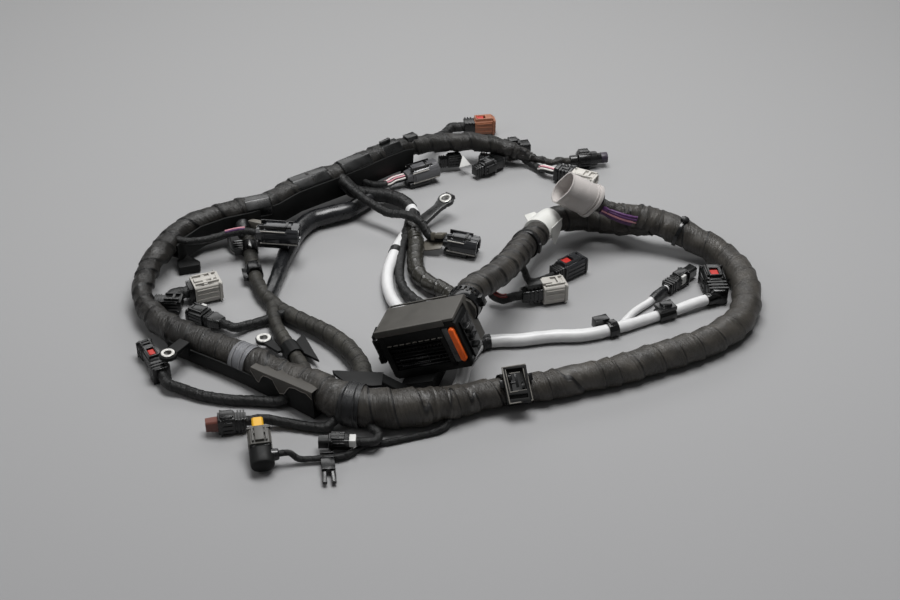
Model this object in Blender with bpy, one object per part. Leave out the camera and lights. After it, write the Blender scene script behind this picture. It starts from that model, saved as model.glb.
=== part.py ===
"""Vehicle wiring harness: a taped trunk bent in a loop, its branches, plugs and clips.

Tables are in millimetres. X runs to the right, Y away from the viewer, Z up, the floor at Z = 0.
"""
import math

import bmesh
import bpy
from mathutils import Matrix, Vector
from mathutils.bvhtree import BVHTree

MM = 0.001
CENTRE = (2.3, 0.8, 0.0)

# Clearances
GAP = 0.3
LOCK_GAP = 0.3
CLIP_GAP = 0.5

# Cord sampling
FINE_STEP = 0.25
RIM_POINTS = 16
RIM_SHARE = 0.97
TAIL = 15.0
STRAIGHT = 4.0
TRIM_REACH = 90.0
END_ROWS = 8

# Wall thicknesses
RAIL_WALL = 2.0
SHELL_WALL = 2.0
CLIP_WALL = 1.8

# Control unit plug
UNIT_WIDTH = 82.0
UNIT_HEIGHT = 50.0
UNIT_DEPTH = 30.0
COVER_DEPTH = 44.0
COVER_THICK = 3.0
SPIGOT_Y = 72.0
SPIGOT_Z = 38.0
SPIGOT_LENGTH = 12.0
SPIGOT_RADIUS = 15.0
SEAL_Y = 73.0
SEAL_WIDTH = 6.0
SEAL_Z = 8.0
SEAL_HEIGHT = 36.0
SEAL_DEPTH = 2.0

# Oval shell
OVAL_LONG = 54.0
OVAL_SHORT = 34.0
OVAL_LENGTH = 38.0


def linear(hex_colour):
    """Linear RGBA of an sRGB hex colour."""
    channels = [int(hex_colour[i:i + 2], 16) / 255.0 for i in (0, 2, 4)]
    return [c / 12.92 if c <= 0.04045 else ((c + 0.055) / 1.055) ** 2.4 for c in channels] + [1.0]


def paint(obj, colour, roughness, metallic=0.0):
    """Give the object its own material."""
    material = bpy.data.materials.new(obj.name)
    material.use_nodes = True
    shader = material.node_tree.nodes["Principled BSDF"]
    shader.inputs["Base Color"].default_value = linear(colour)
    shader.inputs["Roughness"].default_value = roughness
    shader.inputs["Metallic"].default_value = metallic
    obj.data.materials.clear()
    obj.data.materials.append(material)


def frame(at, yaw=0.0, pitch=0.0, roll=0.0):
    """Placing matrix with +X along the heading `yaw` raised by `pitch`; position in millimetres."""
    turn = Matrix.Rotation(math.radians(yaw), 4, "Z")
    turn = turn @ Matrix.Rotation(math.radians(-pitch), 4, "Y")
    turn = turn @ Matrix.Rotation(math.radians(roll), 4, "X")
    return Matrix.Translation(at) @ turn


def heading(direction):
    """Yaw and pitch in degrees of a direction."""
    flat = math.hypot(direction.x, direction.y)
    return math.degrees(math.atan2(direction.y, direction.x)), math.degrees(math.atan2(direction.z, flat))


def box_outline(width, height, corner, y=0.0, z=0.0):
    """Rectangle with cut corners as (y, z) pairs, eight points."""
    a, b, c = width / 2, height / 2, corner
    points = [(a, -b + c), (a, b - c), (a - c, b), (-a + c, b)]
    points += [(-p, -q) for p, q in points]
    return [(y + p, z + q) for p, q in points]


def round_outline(width, height, sides, y=0.0, z=0.0):
    """Ellipse as (y, z) pairs."""
    turns = [2 * math.pi * i / sides for i in range(sides)]
    return [(y + width / 2 * math.cos(t), z + height / 2 * math.sin(t)) for t in turns]


def collar_outline(radius, wall, start, end, steps):
    """Open ring section round the axis as (y, z) pairs, angles in degrees from +Y."""
    turns = [math.radians(start + (end - start) * i / steps) for i in range(steps + 1)]
    inside = radius / math.cos((turns[1] - turns[0]) / 2)
    outer = [((inside + wall) * math.cos(t), (inside + wall) * math.sin(t)) for t in turns]
    inner = [(inside * math.cos(t), inside * math.sin(t)) for t in reversed(turns)]
    return outer + inner


def mesh_object(name, points, faces):
    """Object from points in millimetres and faces, its normals made to point out."""
    build = bmesh.new()
    corners = [build.verts.new(p) for p in points]
    for face in faces:
        build.faces.new([corners[i] for i in face])
    bmesh.ops.recalc_face_normals(build, faces=build.faces)
    mesh = bpy.data.meshes.new(name)
    build.to_mesh(mesh)
    build.free()
    obj = bpy.data.objects.new(name, mesh)
    bpy.context.scene.collection.objects.link(obj)
    return obj


def loft(name, rings):
    """Closed solid through rings of equal point counts, each ring a list of 3-D points."""
    count = len(rings[0])
    points = [p for ring in rings for p in ring]
    faces = []
    for row in range(len(rings) - 1):
        a, b = row * count, (row + 1) * count
        faces += [(a + i, a + (i + 1) % count, b + (i + 1) % count, b + i) for i in range(count)]
    faces.append(tuple(range(count)))
    faces.append(tuple(range(len(points) - count, len(points))))
    return mesh_object(name, points, faces)


def along_x(name, stations):
    """Solid lofted along X through (x, outline) stations."""
    return loft(name, [[(x, y, z) for y, z in outline] for x, outline in stations])


def plug_body(name, stations, corner=1.5):
    """Moulded body through (x, width, height) stations with optional (y, z) shifts."""
    rings = []
    for station in stations:
        x, width, height = station[:3]
        shift = station[3:] or (0.0, 0.0)
        rings.append((x, box_outline(width, height, min(corner, width / 4, height / 4), *shift)))
    return along_x(name, rings)


def turned(name, profile, sides):
    """Solid turned round X through (x, diameter) stations."""
    return along_x(name, [(x, round_outline(d, d, sides)) for x, d in profile])


def block(x0, x1, y0, y1, z0, z1):
    """Plain block between two corners."""
    outline = [(y0, z0), (y1, z0), (y1, z1), (y0, z1)]
    return along_x("block", [(x0, outline), (x1, outline)])


def slab(outline, z0, z1):
    """Plate of the given (x, y) outline between two heights."""
    return loft("slab", [[(x, y, z) for x, y in outline] for z in (z0, z1)])


def side_slab(outline, y0, y1):
    """Plate of the given (x, z) outline between two sides."""
    return loft("slab", [[(x, y, z) for x, z in outline] for y in (y0, y1)])


def evaluated_mesh(obj):
    """Fresh mesh of the object with its modifiers or bevel worked in."""
    bpy.context.view_layer.update()
    graph = bpy.context.evaluated_depsgraph_get()
    return bpy.data.meshes.new_from_object(obj.evaluated_get(graph))


def combine(base, tools, operation):
    """Fuse tools to the base or cut them from it."""
    for tool in tools:
        modifier = base.modifiers.new("combine", "BOOLEAN")
        modifier.operation = operation
        modifier.solver = "EXACT"
        modifier.object = tool
        mesh = evaluated_mesh(base)
        base.modifiers.clear()
        base.data = mesh
        bpy.data.objects.remove(tool)
    return base


def fuse(base, *tools):
    """Base with the tools joined on."""
    return combine(base, tools, "UNION")


def cut(base, *tools):
    """Base with the tools taken away."""
    return combine(base, tools, "DIFFERENCE")


def place(obj, matrix, colour, roughness, metallic=0.0, origin=(0.0, 0.0, 0.0)):
    """Scale the finished solid to metres, stand it at its place and paint it."""
    shift = Vector(origin)
    obj.data.transform(Matrix.Scale(MM, 4) @ Matrix.Translation(-shift))
    home = matrix @ Matrix.Translation(shift)
    obj.location = home.translation * MM
    obj.rotation_euler = home.to_euler()
    obj.data.shade_smooth()
    obj.data.set_sharp_from_angle(angle=math.radians(35.0))
    paint(obj, colour, roughness, metallic)
    return obj


def smooth_route(route, step):
    """Evenly spaced (x, y, z, diameter) points on a smooth curve through the route points."""
    knots = [Vector(p) for p in route]
    times = [0.0]
    for a, b in zip(knots, knots[1:]):
        times.append(times[-1] + (b - a).xyz.length)
    slopes = []
    for i in range(len(knots)):
        lo, hi = max(i - 1, 0), min(i + 1, len(knots) - 1)
        slopes.append((knots[hi] - knots[lo]) / (times[hi] - times[lo]))
    dense = []
    for i in range(len(knots) - 1):
        span = times[i + 1] - times[i]
        pieces = max(2, math.ceil(span / FINE_STEP))
        for k in range(pieces):
            t = k / pieces
            h0 = 2 * t ** 3 - 3 * t ** 2 + 1
            h1 = t ** 3 - 2 * t ** 2 + t
            h2 = 3 * t ** 2 - 2 * t ** 3
            h3 = t ** 3 - t ** 2
            bend = slopes[i] * (h1 * span) + slopes[i + 1] * (h3 * span)
            dense.append(knots[i] * h0 + knots[i + 1] * h2 + bend)
    dense.append(knots[-1])
    return resample(dense, step)


def resample(points, step):
    """Points at an even spacing close to `step` along a dense line."""
    lengths = [0.0]
    for a, b in zip(points, points[1:]):
        lengths.append(lengths[-1] + (b - a).xyz.length)
    count = max(2, round(lengths[-1] / step) + 1)
    result = []
    row = 0
    for i in range(count):
        target = lengths[-1] * i / (count - 1)
        while row < len(points) - 2 and lengths[row + 1] < target:
            row += 1
        share = (target - lengths[row]) / max(lengths[row + 1] - lengths[row], 1e-9)
        result.append(points[row].lerp(points[row + 1], min(max(share, 0.0), 1.0)))
    return result


def surface_of(obj):
    """Search tree of an object's faces in millimetres."""
    mesh = evaluated_mesh(obj)
    mesh.transform(Matrix.Scale(1.0 / MM, 4) @ obj.matrix_world)
    build = bmesh.new()
    build.from_mesh(mesh)
    bmesh.ops.remove_doubles(build, verts=build.verts, dist=0.001)
    bmesh.ops.recalc_face_normals(build, faces=build.faces)
    tree = BVHTree.FromBMesh(build)
    build.free()
    bpy.data.meshes.remove(mesh)
    return tree


def too_close(tree, point, clearance):
    """Whether a point lies inside a surface or nearer to it than the clearance."""
    nearest, normal, _, distance = tree.find_nearest(point)
    return distance < clearance or (point - nearest).dot(normal) < -0.5 * distance


def rim(point, direction):
    """Points on the edge of a cord's end face and its middle."""
    other = Vector((0.0, 0.0, 1.0)) if abs(direction.z) < 0.9 else Vector((1.0, 0.0, 0.0))
    side = direction.cross(other).normalized()
    up = side.cross(direction)
    turns = [2 * math.pi * i / RIM_POINTS for i in range(RIM_POINTS)]
    radius = RIM_SHARE * point.w / 2
    return [point.xyz] + [point.xyz + (side * math.cos(t) + up * math.sin(t)) * radius for t in turns]


def trimmed(points, hosts):
    """Dense line with its start cut back until its end face stands clear of the hosts."""
    if not hosts:
        return points
    trees = [surface_of(host) for host in hosts]
    first = 0
    for i in range(min(len(points) - 2, round(TRIM_REACH / FINE_STEP))):
        direction = (points[i + 1] - points[i]).xyz.normalized()
        if any(too_close(tree, p, GAP) for tree in trees for p in rim(points[i], direction)):
            first = i + 1
    return points[first:]


CORDS = {}


def cord(name, route, step, rings, colour, roughness=0.8, start_on=(), end_on=()):
    """Round cord through the route points, its ends cut back from the pieces they meet."""
    dense = smooth_route(route, FINE_STEP)
    for point in dense:
        point.z = max(point.z, point.w / 2)
    dense = trimmed(dense, start_on)
    dense = trimmed(dense[::-1], end_on)[::-1]
    points = resample(dense, step)
    points.insert(1, dense[END_ROWS])
    points.insert(-1, dense[-1 - END_ROWS])
    curve = bpy.data.curves.new(name, "CURVE")
    curve.dimensions = "3D"
    curve.bevel_depth = MM
    curve.bevel_resolution = rings
    curve.use_fill_caps = True
    spline = curve.splines.new("POLY")
    spline.points.add(len(points) - 1)
    for knot, point in zip(spline.points, points):
        knot.co = (*(point.xyz * MM), 1.0)
        knot.radius = point.w / 2
    spline.use_smooth = True
    obj = bpy.data.objects.new(name, curve)
    bpy.context.scene.collection.objects.link(obj)
    paint(obj, colour, roughness)
    CORDS[name] = points
    return obj


def nearest_row(points, spot):
    """Index of the point nearest to a place."""
    return min(range(1, len(points) - 1), key=lambda i: (points[i].xyz - Vector(spot)).length)


def on_cord(name, near, roll=0.0):
    """Frame on a cord's centreline at the point nearest to a place, and the radius there."""
    fine = resample(CORDS[name], 1.0)
    row = nearest_row(fine, near)
    yaw, pitch = heading((fine[row + 1] - fine[row - 1]).xyz)
    return frame(fine[row].xyz, yaw, pitch, roll), fine[row].w / 2


def follow(name, cord_name, first, last, section):
    """Solid that follows a cord between two places with a section made from its radius."""
    fine = resample(CORDS[cord_name], 1.0)
    start, end = sorted((nearest_row(fine, first), nearest_row(fine, last)))
    bends = [nearest_row(fine, point.xyz) for point in CORDS[cord_name]]
    rows = [start] + [row for row in bends if start + 2 < row < end - 2] + [end]
    rings = []
    for row in rows:
        yaw, pitch = heading((fine[row + 1] - fine[row - 1]).xyz)
        matrix = frame(fine[row].xyz, yaw, pitch)
        rings.append([matrix @ Vector((0.0, y, z)) for y, z in section(fine[row].w / 2)])
    return loft(name, rings)


def tail_points(matrix, diameter, reach=TAIL):
    """Last route points of a cord that ends square on the back of a frame."""
    return [(*matrix @ Vector((-x, 0.0, 0.0)), diameter) for x in (reach, STRAIGHT, GAP)]


for start_object in list(bpy.data.objects):
    bpy.data.objects.remove(start_object)

WORLD = Matrix.Identity(4)

TAPE = "3a3835"
TAPE_DARK = "2a2a2a"
BLACK = "141516"
SOFT_BLACK = "1e2022"
DARK_GREY = "3d3b38"
GREY = "8d8b88"
PALE = "bdbbb6"
WHITE = "dededc"

# Plug places: cable entry, heading and climb
UNIT = frame((-45.0, -169.0, 2.5), -107.0, 0.0, 23.5)
OVAL = frame((152.0, 60.0, 56.0), -171.0, 31.5, -22.0)
BROWN = frame((21.0, 304.0, 11.0), 8.0)
TABBED = frame((66.8, 249.2, 11.0), 14.0)
ROUND = frame((141.0, 225.0, 10.5), 10.0)
SPARE = frame((124.0, 200.0, 10.0), -27.0)
CLUSTER = frame((36.5, 204.4, 10.0), 39.0)
SHINY_MIDDLE = frame((-45.0, 184.0, 13.0), 27.0, 3.0)
SHINY_RIGHT = frame((-1.0, 52.0, 14.0), -16.0, -3.0)
SHINY_LEFT = frame((-194.0, 36.0, 34.0), -4.0, -2.0)
LEFT_GREY = frame((-256.0, -40.0, 12.0), 23.0)
TAPED = frame((-216.0, -89.0, 9.0), 150.0)
LEFT_LOOP = frame((-261.0, -171.0, 9.0), 119.0)
BROWN_TIP = frame((-176.0, -238.0, 10.0), -170.0)
YELLOW_TOP = frame((-156.0, -294.0, 11.0), 101.0, 13.5)
YELLOW_ENTRY = YELLOW_TOP @ Matrix.Translation((6.0, -8.0, 0.0)) @ Matrix.Rotation(math.radians(90.0), 4, "Z")
SMALL_DARK = frame((-79.0, -267.0, 10.5), 180.0)
LIGHT_GREY = frame((75.0, -46.0, 12.0), 16.0)
RED_LOCKED = frame((109.0, -7.0, 10.0), 39.0)
THIN_END = frame((221.0, -28.0, 8.0), 47.0)
BOOT = frame((271.0, -48.0, 10.0), 94.0)
BOOT_ELBOW = BOOT @ Matrix.Translation((6.0, 0.0, -2.0)) @ Matrix.Rotation(math.radians(-68.0), 4, "Z")
ELBOW_REACH = 14.0
BOOT_ENTRY = BOOT_ELBOW @ Matrix.Translation((-ELBOW_REACH, 0.0, 0.0))

# Control unit plug
unit = along_x("ecu_housing", [
    (-UNIT_DEPTH, box_outline(UNIT_WIDTH - 2, UNIT_HEIGHT - 1, 3.0, UNIT_WIDTH / 2, UNIT_HEIGHT / 2)),
    (0.0, box_outline(UNIT_WIDTH, UNIT_HEIGHT, 3.0, UNIT_WIDTH / 2, UNIT_HEIGHT / 2)),
    (0.0, box_outline(64.0, 32.0, 2.0, 37.0, 22.0)),
    (-6.0, box_outline(63.0, 31.0, 2.0, 37.0, 22.0)),
])
slats = [block(-7.0, -1.5, 6.0, 68.0, z, z + 2.5) for z in (10.0, 16.0, 22.0, 28.0, 34.0)]
wing = side_slab([(-18.0, 32.0), (-4.0, 36.0), (-4.0, 47.0), (-18.0, 49.0)], -7.0, 1.0)
tabs = [block(-16.0, -8.0, UNIT_WIDTH - 2.0, UNIT_WIDTH + 7.0, z, z + 3.0) for z in (14.0, 30.0)]
fuse(unit, wing, *slats, *tabs)
seal_pocket = block(-SEAL_DEPTH - GAP, 2.0, SEAL_Y - GAP, SEAL_Y + SEAL_WIDTH + GAP, SEAL_Z - GAP,
                    SEAL_Z + SEAL_HEIGHT + GAP)
cut(unit, seal_pocket)
place(unit, UNIT, BLACK, 0.55)

SEAL_MIDDLE = (SEAL_Y + SEAL_WIDTH / 2, SEAL_Z + SEAL_HEIGHT / 2)
seal = along_x("ecu_seal", [
    (-SEAL_DEPTH, box_outline(SEAL_WIDTH, SEAL_HEIGHT, 2.0, *SEAL_MIDDLE)),
    (2.0, box_outline(SEAL_WIDTH, SEAL_HEIGHT, 2.0, *SEAL_MIDDLE)),
    (3.0, box_outline(SEAL_WIDTH - 2, SEAL_HEIGHT - 2, 1.5, *SEAL_MIDDLE)),
])
place(seal, UNIT, "e0621f", 0.6)

COVER_TOP = UNIT_HEIGHT + GAP
cover = side_slab([
    (0.0, COVER_TOP),
    (0.0, COVER_TOP + COVER_THICK),
    (-COVER_DEPTH + 6.0, COVER_TOP + COVER_THICK + 1.0),
    (-COVER_DEPTH, COVER_TOP - 4.0),
    (-COVER_DEPTH, 6.0),
    (-UNIT_DEPTH - GAP, 6.0),
    (-UNIT_DEPTH - GAP, COVER_TOP),
], 0.5, UNIT_WIDTH - 0.5)
cover.name = "ecu_cover"
spigot = turned("spigot", [
    (-COVER_DEPTH - SPIGOT_LENGTH, 2 * SPIGOT_RADIUS - 3.0),
    (-COVER_DEPTH - SPIGOT_LENGTH + 2.0, 2 * SPIGOT_RADIUS),
    (-COVER_DEPTH - 6.0, 2 * SPIGOT_RADIUS),
    (-COVER_DEPTH - 6.0, 2 * SPIGOT_RADIUS - 5.0),
    (-COVER_DEPTH - 3.0, 2 * SPIGOT_RADIUS - 5.0),
    (-COVER_DEPTH - 3.0, 2 * SPIGOT_RADIUS),
    (-COVER_DEPTH + 8.0, 2 * SPIGOT_RADIUS),
], 12)
spigot.data.transform(Matrix.Translation((0.0, SPIGOT_Y, SPIGOT_Z)))
corner_cut = slab([(-COVER_DEPTH - 1, -1.0), (-COVER_DEPTH + 9.0, -1.0), (-COVER_DEPTH - 1, 13.0)], 0.0, 60.0)
cut(cover, corner_cut)
cut(spigot, block(-UNIT_DEPTH - GAP, 0.0, 40.0, 100.0, 0.0, 70.0))
fuse(cover, spigot)
place(cover, UNIT, DARK_GREY, 0.6)

bracket = side_slab([(8.0, -0.3), (42.0, -0.3), (40.0, -13.0), (30.0, -12.5), (10.0, -5.5)], -12.0, 24.0)
bracket.name = "ecu_bracket"
bracket.data.transform(Matrix.Rotation(math.radians(90.0), 4, "Z"))
bracket.data.transform(UNIT)
TONGUE_LOW, TONGUE_TOP = 19.0, 22.0
tongue = slab([(-103.0, -180.0), (-102.0, -184.0), (-90.0, -198.0), (-66.0, -203.0), (-57.0, -202.0),
               (-56.0, -183.0)], TONGUE_LOW, TONGUE_TOP)
strip = side_slab([(-64.0, TONGUE_LOW + 0.5), (-64.0, TONGUE_TOP), (-57.0, TONGUE_TOP), (-34.0, 7.0),
                   (-34.0, 3.5), (-41.0, 3.5)], -197.0, -184.5)
fuse(bracket, strip, tongue)
place(bracket, WORLD, SOFT_BLACK, 0.5)

# Oval shell
oval = along_x("oval_shell", [
    (0.0, round_outline(OVAL_SHORT, OVAL_LONG, 18)),
    (4.0, round_outline(OVAL_SHORT, OVAL_LONG, 18)),
    (4.0, round_outline(OVAL_SHORT - 3, OVAL_LONG - 3, 18)),
    (OVAL_LENGTH, round_outline(OVAL_SHORT - 1, OVAL_LONG - 1, 18)),
    (OVAL_LENGTH, round_outline(OVAL_SHORT - 1 - 2 * SHELL_WALL, OVAL_LONG - 1 - 2 * SHELL_WALL, 18)),
    (3.0, round_outline(OVAL_SHORT - 4 - 2 * SHELL_WALL, OVAL_LONG - 4 - 2 * SHELL_WALL, 18)),
])
place(oval, OVAL, GREY, 0.45)

# Main trunk, running on into the round plug's cable
trunk_route = tail_points(OVAL, 15.0)[::-1] + [
    (183, 60, 42, 20), (202, 61, 37, 24), (231, 54, 29, 28), (258, 42, 21, 28), (274, 32, 17, 28),
    (288, 16, 14, 28), (297, -11, 14, 28), (299, -43, 14, 28), (293, -71, 14, 28), (280, -97, 14, 28),
    (259, -117, 14, 28), (235, -133, 14, 28), (196, -152, 14, 28), (157, -171, 14, 28),
    (114, -185, 14, 27), (91, -193, 14, 26), (62, -198, 14, 26), (32, -209, 15, 27), (4, -219, 16, 30),
    (-22, -228, 18, 34), (-53, -230, 18, 35), (-85, -224, 18, 36), (-115, -204, 18, 33),
    (-151, -180, 16, 30), (-190, -154, 16, 28), (-221, -135, 16, 28), (-252, -116, 16, 28),
    (-276, -95, 17, 25), (-293, -68, 18, 20), (-299, -48, 20, 19), (-299, -27, 22, 20),
    (-295, -4, 24, 22), (-286, 22, 27, 23), (-271, 48, 30, 23), (-247, 65, 33, 23), (-219, 76, 35, 23),
    (-191, 88, 35, 23), (-167, 115, 36, 23), (-126, 145, 37, 23), (-102, 164, 37, 23), (-68, 195, 37, 22),
    (-42, 215, 35, 21), (9, 233, 30, 20), (34, 239, 27, 20), (68, 234, 22, 18), (84, 231, 17, 14),
    (101, 228, 12, 8), (118, 224, 9, 7),
] + tail_points(ROUND, 7.0)
trunk = cord("main_trunk", trunk_route, 29.0, 4, TAPE)


# Trough rail under the trunk's back left run
def rail_section(radius):
    """Trough above a floor, open channel below it, as (y, z) pairs."""
    inner, outer = radius + GAP, radius + GAP + RAIL_WALL
    floor_top, floor_low, low, high = -inner, -outer, -radius - 10.0, 3.0
    right = [(outer, low), (outer, high), (inner, high), (inner, floor_top)]
    left = [(-y, z) for y, z in reversed(right)]
    return right + left + [(-inner, low), (-inner, floor_low), (inner, floor_low), (inner, low)]


rail = follow("trough_rail", "main_trunk", (-286, 22, 27), (-42, 215, 35), rail_section)
hanging_leg = slab([(-276.0, 20.0), (-272.0, 6.0), (-252.0, 12.0), (-252.0, 18.0), (-266.0, 30.0)], 0.0, 10.0)
end_frame, end_radius = on_cord("main_trunk", (-52, 208, 35))
end_leg = block(-5.0, 5.0, -end_radius - GAP - RAIL_WALL, -end_radius - GAP, -34.0, -end_radius - 4.0)
end_leg.data.transform(end_frame)
fuse(rail, hanging_leg, end_leg)
place(rail, WORLD, SOFT_BLACK, 0.5)


# Protector beside and under the trunk's front left run: high by the plug's trunk, low further on
def wall_section(radius, high):
    """Outer side wall with a lip that follows the trunk's underside, as (y, z) pairs."""
    inner, outer = radius + GAP, radius + GAP + RAIL_WALL
    bore = inner / math.cos(math.radians(10.0))
    turns = [math.radians(a) for a in (-18.0, -38.0, -58.0)]
    lip = [(bore * math.cos(t), bore * math.sin(t)) for t in turns]
    low = 1.0 - radius
    return [(outer, high), (inner, high), (inner, 0.0)] + lip + [(lip[-1][0], low), (outer, low)]


def high_wall(radius):
    """Wall to four fifths of the trunk's height."""
    return wall_section(radius, 0.8 * radius)


def low_wall(radius):
    """Wall that stays below the trunk's middle."""
    return wall_section(radius, 1.0)


protector = follow("protector_channel", "main_trunk", (-106, -210, 18), (-168, -169, 16), high_wall)
low_run = follow("low_run", "main_trunk", (-164, -171, 16), (-252, -116, 16), low_wall)
fuse(protector, low_run)
EYELET = frame((-256.0, -160.0, 24.0))
eyelet_tab = fuse(block(-2.0, 24.2, -6.0, 6.0, -2.0, 2.0), block(20.5, 24.2, -6.0, 6.0, -13.0, 1.0))
eyelet_tab.data.transform(EYELET @ Matrix.Rotation(math.radians(58.5), 4, "Z"))
eyelet_round = turned("round", [(-2.0, 17.0), (2.0, 17.0)], 12)
eyelet_round.data.transform(EYELET @ Matrix.Rotation(math.radians(90.0), 4, "Y"))
eyelet_hole = turned("hole", [(-9.0, 13.0 + 2 * GAP), (9.0, 13.0 + 2 * GAP)], 12)
eyelet_hole.data.transform(EYELET @ Matrix.Rotation(math.radians(90.0), 4, "Y"))
fuse(protector, eyelet_tab, eyelet_round)
cut(protector, eyelet_hole)
place(protector, WORLD, BLACK, 0.5)


def bushing(name, matrix, outer, bore, length, colour):
    """Metal ring round the local X axis."""
    rings = [(-length / 2, bore), (-length / 2, outer), (length / 2, outer), (length / 2, bore)]
    outlines = [[(x, y, z) for y, z in round_outline(d, d, 12)] for x, d in rings]
    count = 12
    points = [p for ring in outlines for p in ring]
    faces = []
    for row in range(4):
        a, b = row * count, (row + 1) % 4 * count
        faces += [(a + i, a + (i + 1) % count, b + (i + 1) % count, b + i) for i in range(count)]
    obj = mesh_object(name, points, faces)
    return place(obj, matrix, colour, 0.3, 1.0)


UPRIGHT = Matrix.Rotation(math.radians(90.0), 4, "Y")
bushing("left_eyelet_ring", EYELET @ UPRIGHT, 13.0, 7.0, 6.0, "c9c8c4")

# Ring terminal at the back
BACK_EYELET = frame((0.0, 119.0, 22.0), -130.0, -15.0)
back_arm = slab([(-9.0, -6.0), (8.0, -6.5), (14.0, -5.0), (38.0, -8.2), (38.0, 4.5), (14.0, 5.0), (8.0, 6.5),
                 (-9.0, 6.0)], -2.5, 2.5)
back_arm.name = "back_eyelet_bracket"
back_hole = turned("hole", [(-9.0, 13.0 + 2 * GAP), (9.0, 13.0 + 2 * GAP)], 12)
back_hole.data.transform(UPRIGHT)
back_round = turned("round", [(-2.5, 18.0), (2.5, 18.0)], 12)
back_round.data.transform(UPRIGHT)
fuse(back_arm, back_round)
cut(back_arm, back_hole)
place(back_arm, BACK_EYELET, BLACK, 0.5)
bushing("back_eyelet_ring", BACK_EYELET @ UPRIGHT, 13.0, 8.5, 7.0, "d8d7d3")

# Control unit trunk and its label
unit_start = UNIT @ Matrix.Translation((-COVER_DEPTH - SPIGOT_LENGTH, SPIGOT_Y, SPIGOT_Z))
unit_trunk_route = tail_points(unit_start, 26.0)[::-1] + [
    (49, -84, 62, 26), (63, -50, 54, 26), (76, -12, 45, 26), (88, 18, 39, 26), (99, 43, 35, 26),
    (112, 64, 31, 26), (131, 78, 25, 26), (153, 84, 20, 26), (176, 81, 18, 25), (196, 70, 22, 24),
    (215, 58, 30, 22),
]
unit_trunk = cord("ecu_trunk", unit_trunk_route, 22.0, 3, TAPE, end_on=[trunk])


def label_section(radius):
    """Sleeve round a cord with a flag running off its top, as (y, z) pairs."""
    ring = collar_outline(radius + CLIP_GAP, 0.6, 50.0, 340.0, 10)
    flag = [(y + 16.0, z + 5.0) for y, z in (ring[-1], ring[0])]
    return ring + flag


label = follow("label_flag", "ecu_trunk", (94, 33, 37), (106, 54, 33), label_section)
place(label, WORLD, "d2cfbe", 0.6)

# Thick branches
middle = cord("middle_branch", [
    (-215, 79, 34, 13), (-212, 60, 22, 13), (-206, 52, 14, 13), (-203, 38, 8, 14), (-198, 14, 7, 14),
    (-191, -13, 7, 14), (-181, -38, 8, 15), (-164, -62, 8, 15), (-143, -82, 9, 16), (-120, -100, 9, 17),
    (-99, -121, 9, 18), (-83, -146, 9, 18), (-76, -168, 9, 18), (-77, -190, 9, 18), (-79, -208, 9, 18),
    (-80, -224, 10, 18),
], 20.0, 2, TAPE, start_on=[rail], end_on=[trunk])
second = cord("second_leg", [
    (-170, -60, 10, 13), (-165, -86, 7, 13), (-149, -123, 7, 13), (-135, -152, 8, 13), (-124, -183, 15, 13),
    (-117, -204, 18, 13),
], 14.0, 2, TAPE, start_on=[middle], end_on=[trunk])
sleeve_a_end = UNIT @ Matrix.Translation((-COVER_DEPTH, 16.0, 24.0))
sleeve_a = cord("sleeve_a_cable", [
    (-122, 150, 37, 14), (-112, 141, 33, 14), (-100, 138, 22, 14), (-83, 143, 15, 14), (-61, 143, 12, 14),
    (-46, 135, 10, 14), (-36, 118, 8, 13), (-35, 99, 7, 13), (-41, 79, 7, 12), (-49, 54, 7, 12),
    (-55, 27, 7, 12), (-59, 1, 7, 12), (-58, -24, 7, 12), (-54, -45, 9, 12),
    (-48, -64, 12, 12), (-38, -90, 18, 12),
] + tail_points(sleeve_a_end, 12.0), 15.0, 2, WHITE, 0.5, start_on=[rail])
hose = cord("hose", [
    (-83, 139, 12, 15), (-94, 126, 12, 17), (-107, 114, 12, 19), (-125, 106, 11.5, 20), (-143, 96, 11, 20),
    (-156, 74, 11, 20), (-163, 41, 11, 18), (-168, 13, 9, 16), (-172, -17, 8, 14), (-176, -44, 8, 14),
], 18.0, 3, SOFT_BLACK, 0.4, start_on=[sleeve_a], end_on=[middle])
convoluted_end = UNIT @ Matrix.Translation((-COVER_DEPTH, 46.0, 20.0))
convoluted = cord("convoluted_tube", [
    (-36, 92, 9, 17), (-36, 78, 12, 17), (-32, 62, 11, 17), (-31, 43, 9, 17), (-31, 18, 9, 17),
    (-27, -6, 9, 17), (-16, -23, 10, 17), (-1, -39, 12, 17), (9, -60, 15, 17), (12, -85, 19, 17),
] + tail_points(convoluted_end, 17.0), 14.0, 3, SOFT_BLACK, 0.45, start_on=[sleeve_a])
sleeve_b = cord("sleeve_b_cable", [
    (-2, -221, 16, 12.6), (6, -204, 10, 12.6), (14, -180, 7, 12.6), (21, -145, 6.5, 12.6),
    (34, -119, 6.5, 12.6), (52, -114, 6.5, 12.6), (71, -113, 6.5, 12.6),
    (102, -107, 6.5, 12.6), (133, -105, 6.5, 12.6),
    (158, -97, 6.5, 12), (181, -86, 6, 11), (206, -73, 6, 10.7), (226, -64, 6.5, 10.7),
] + tail_points(BOOT_ENTRY, 10.7), 17.0, 2, WHITE, 0.5, start_on=[trunk])
thin = cord("sleeve_b_thin", [
    (168, -94, 7, 7.6), (176, -78, 4.5, 7.6), (187, -62, 4, 7.6), (202, -47, 4, 7.6),
] + tail_points(THIN_END, 7.6), 12.0, 2, WHITE, 0.5, start_on=[sleeve_b])

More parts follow.
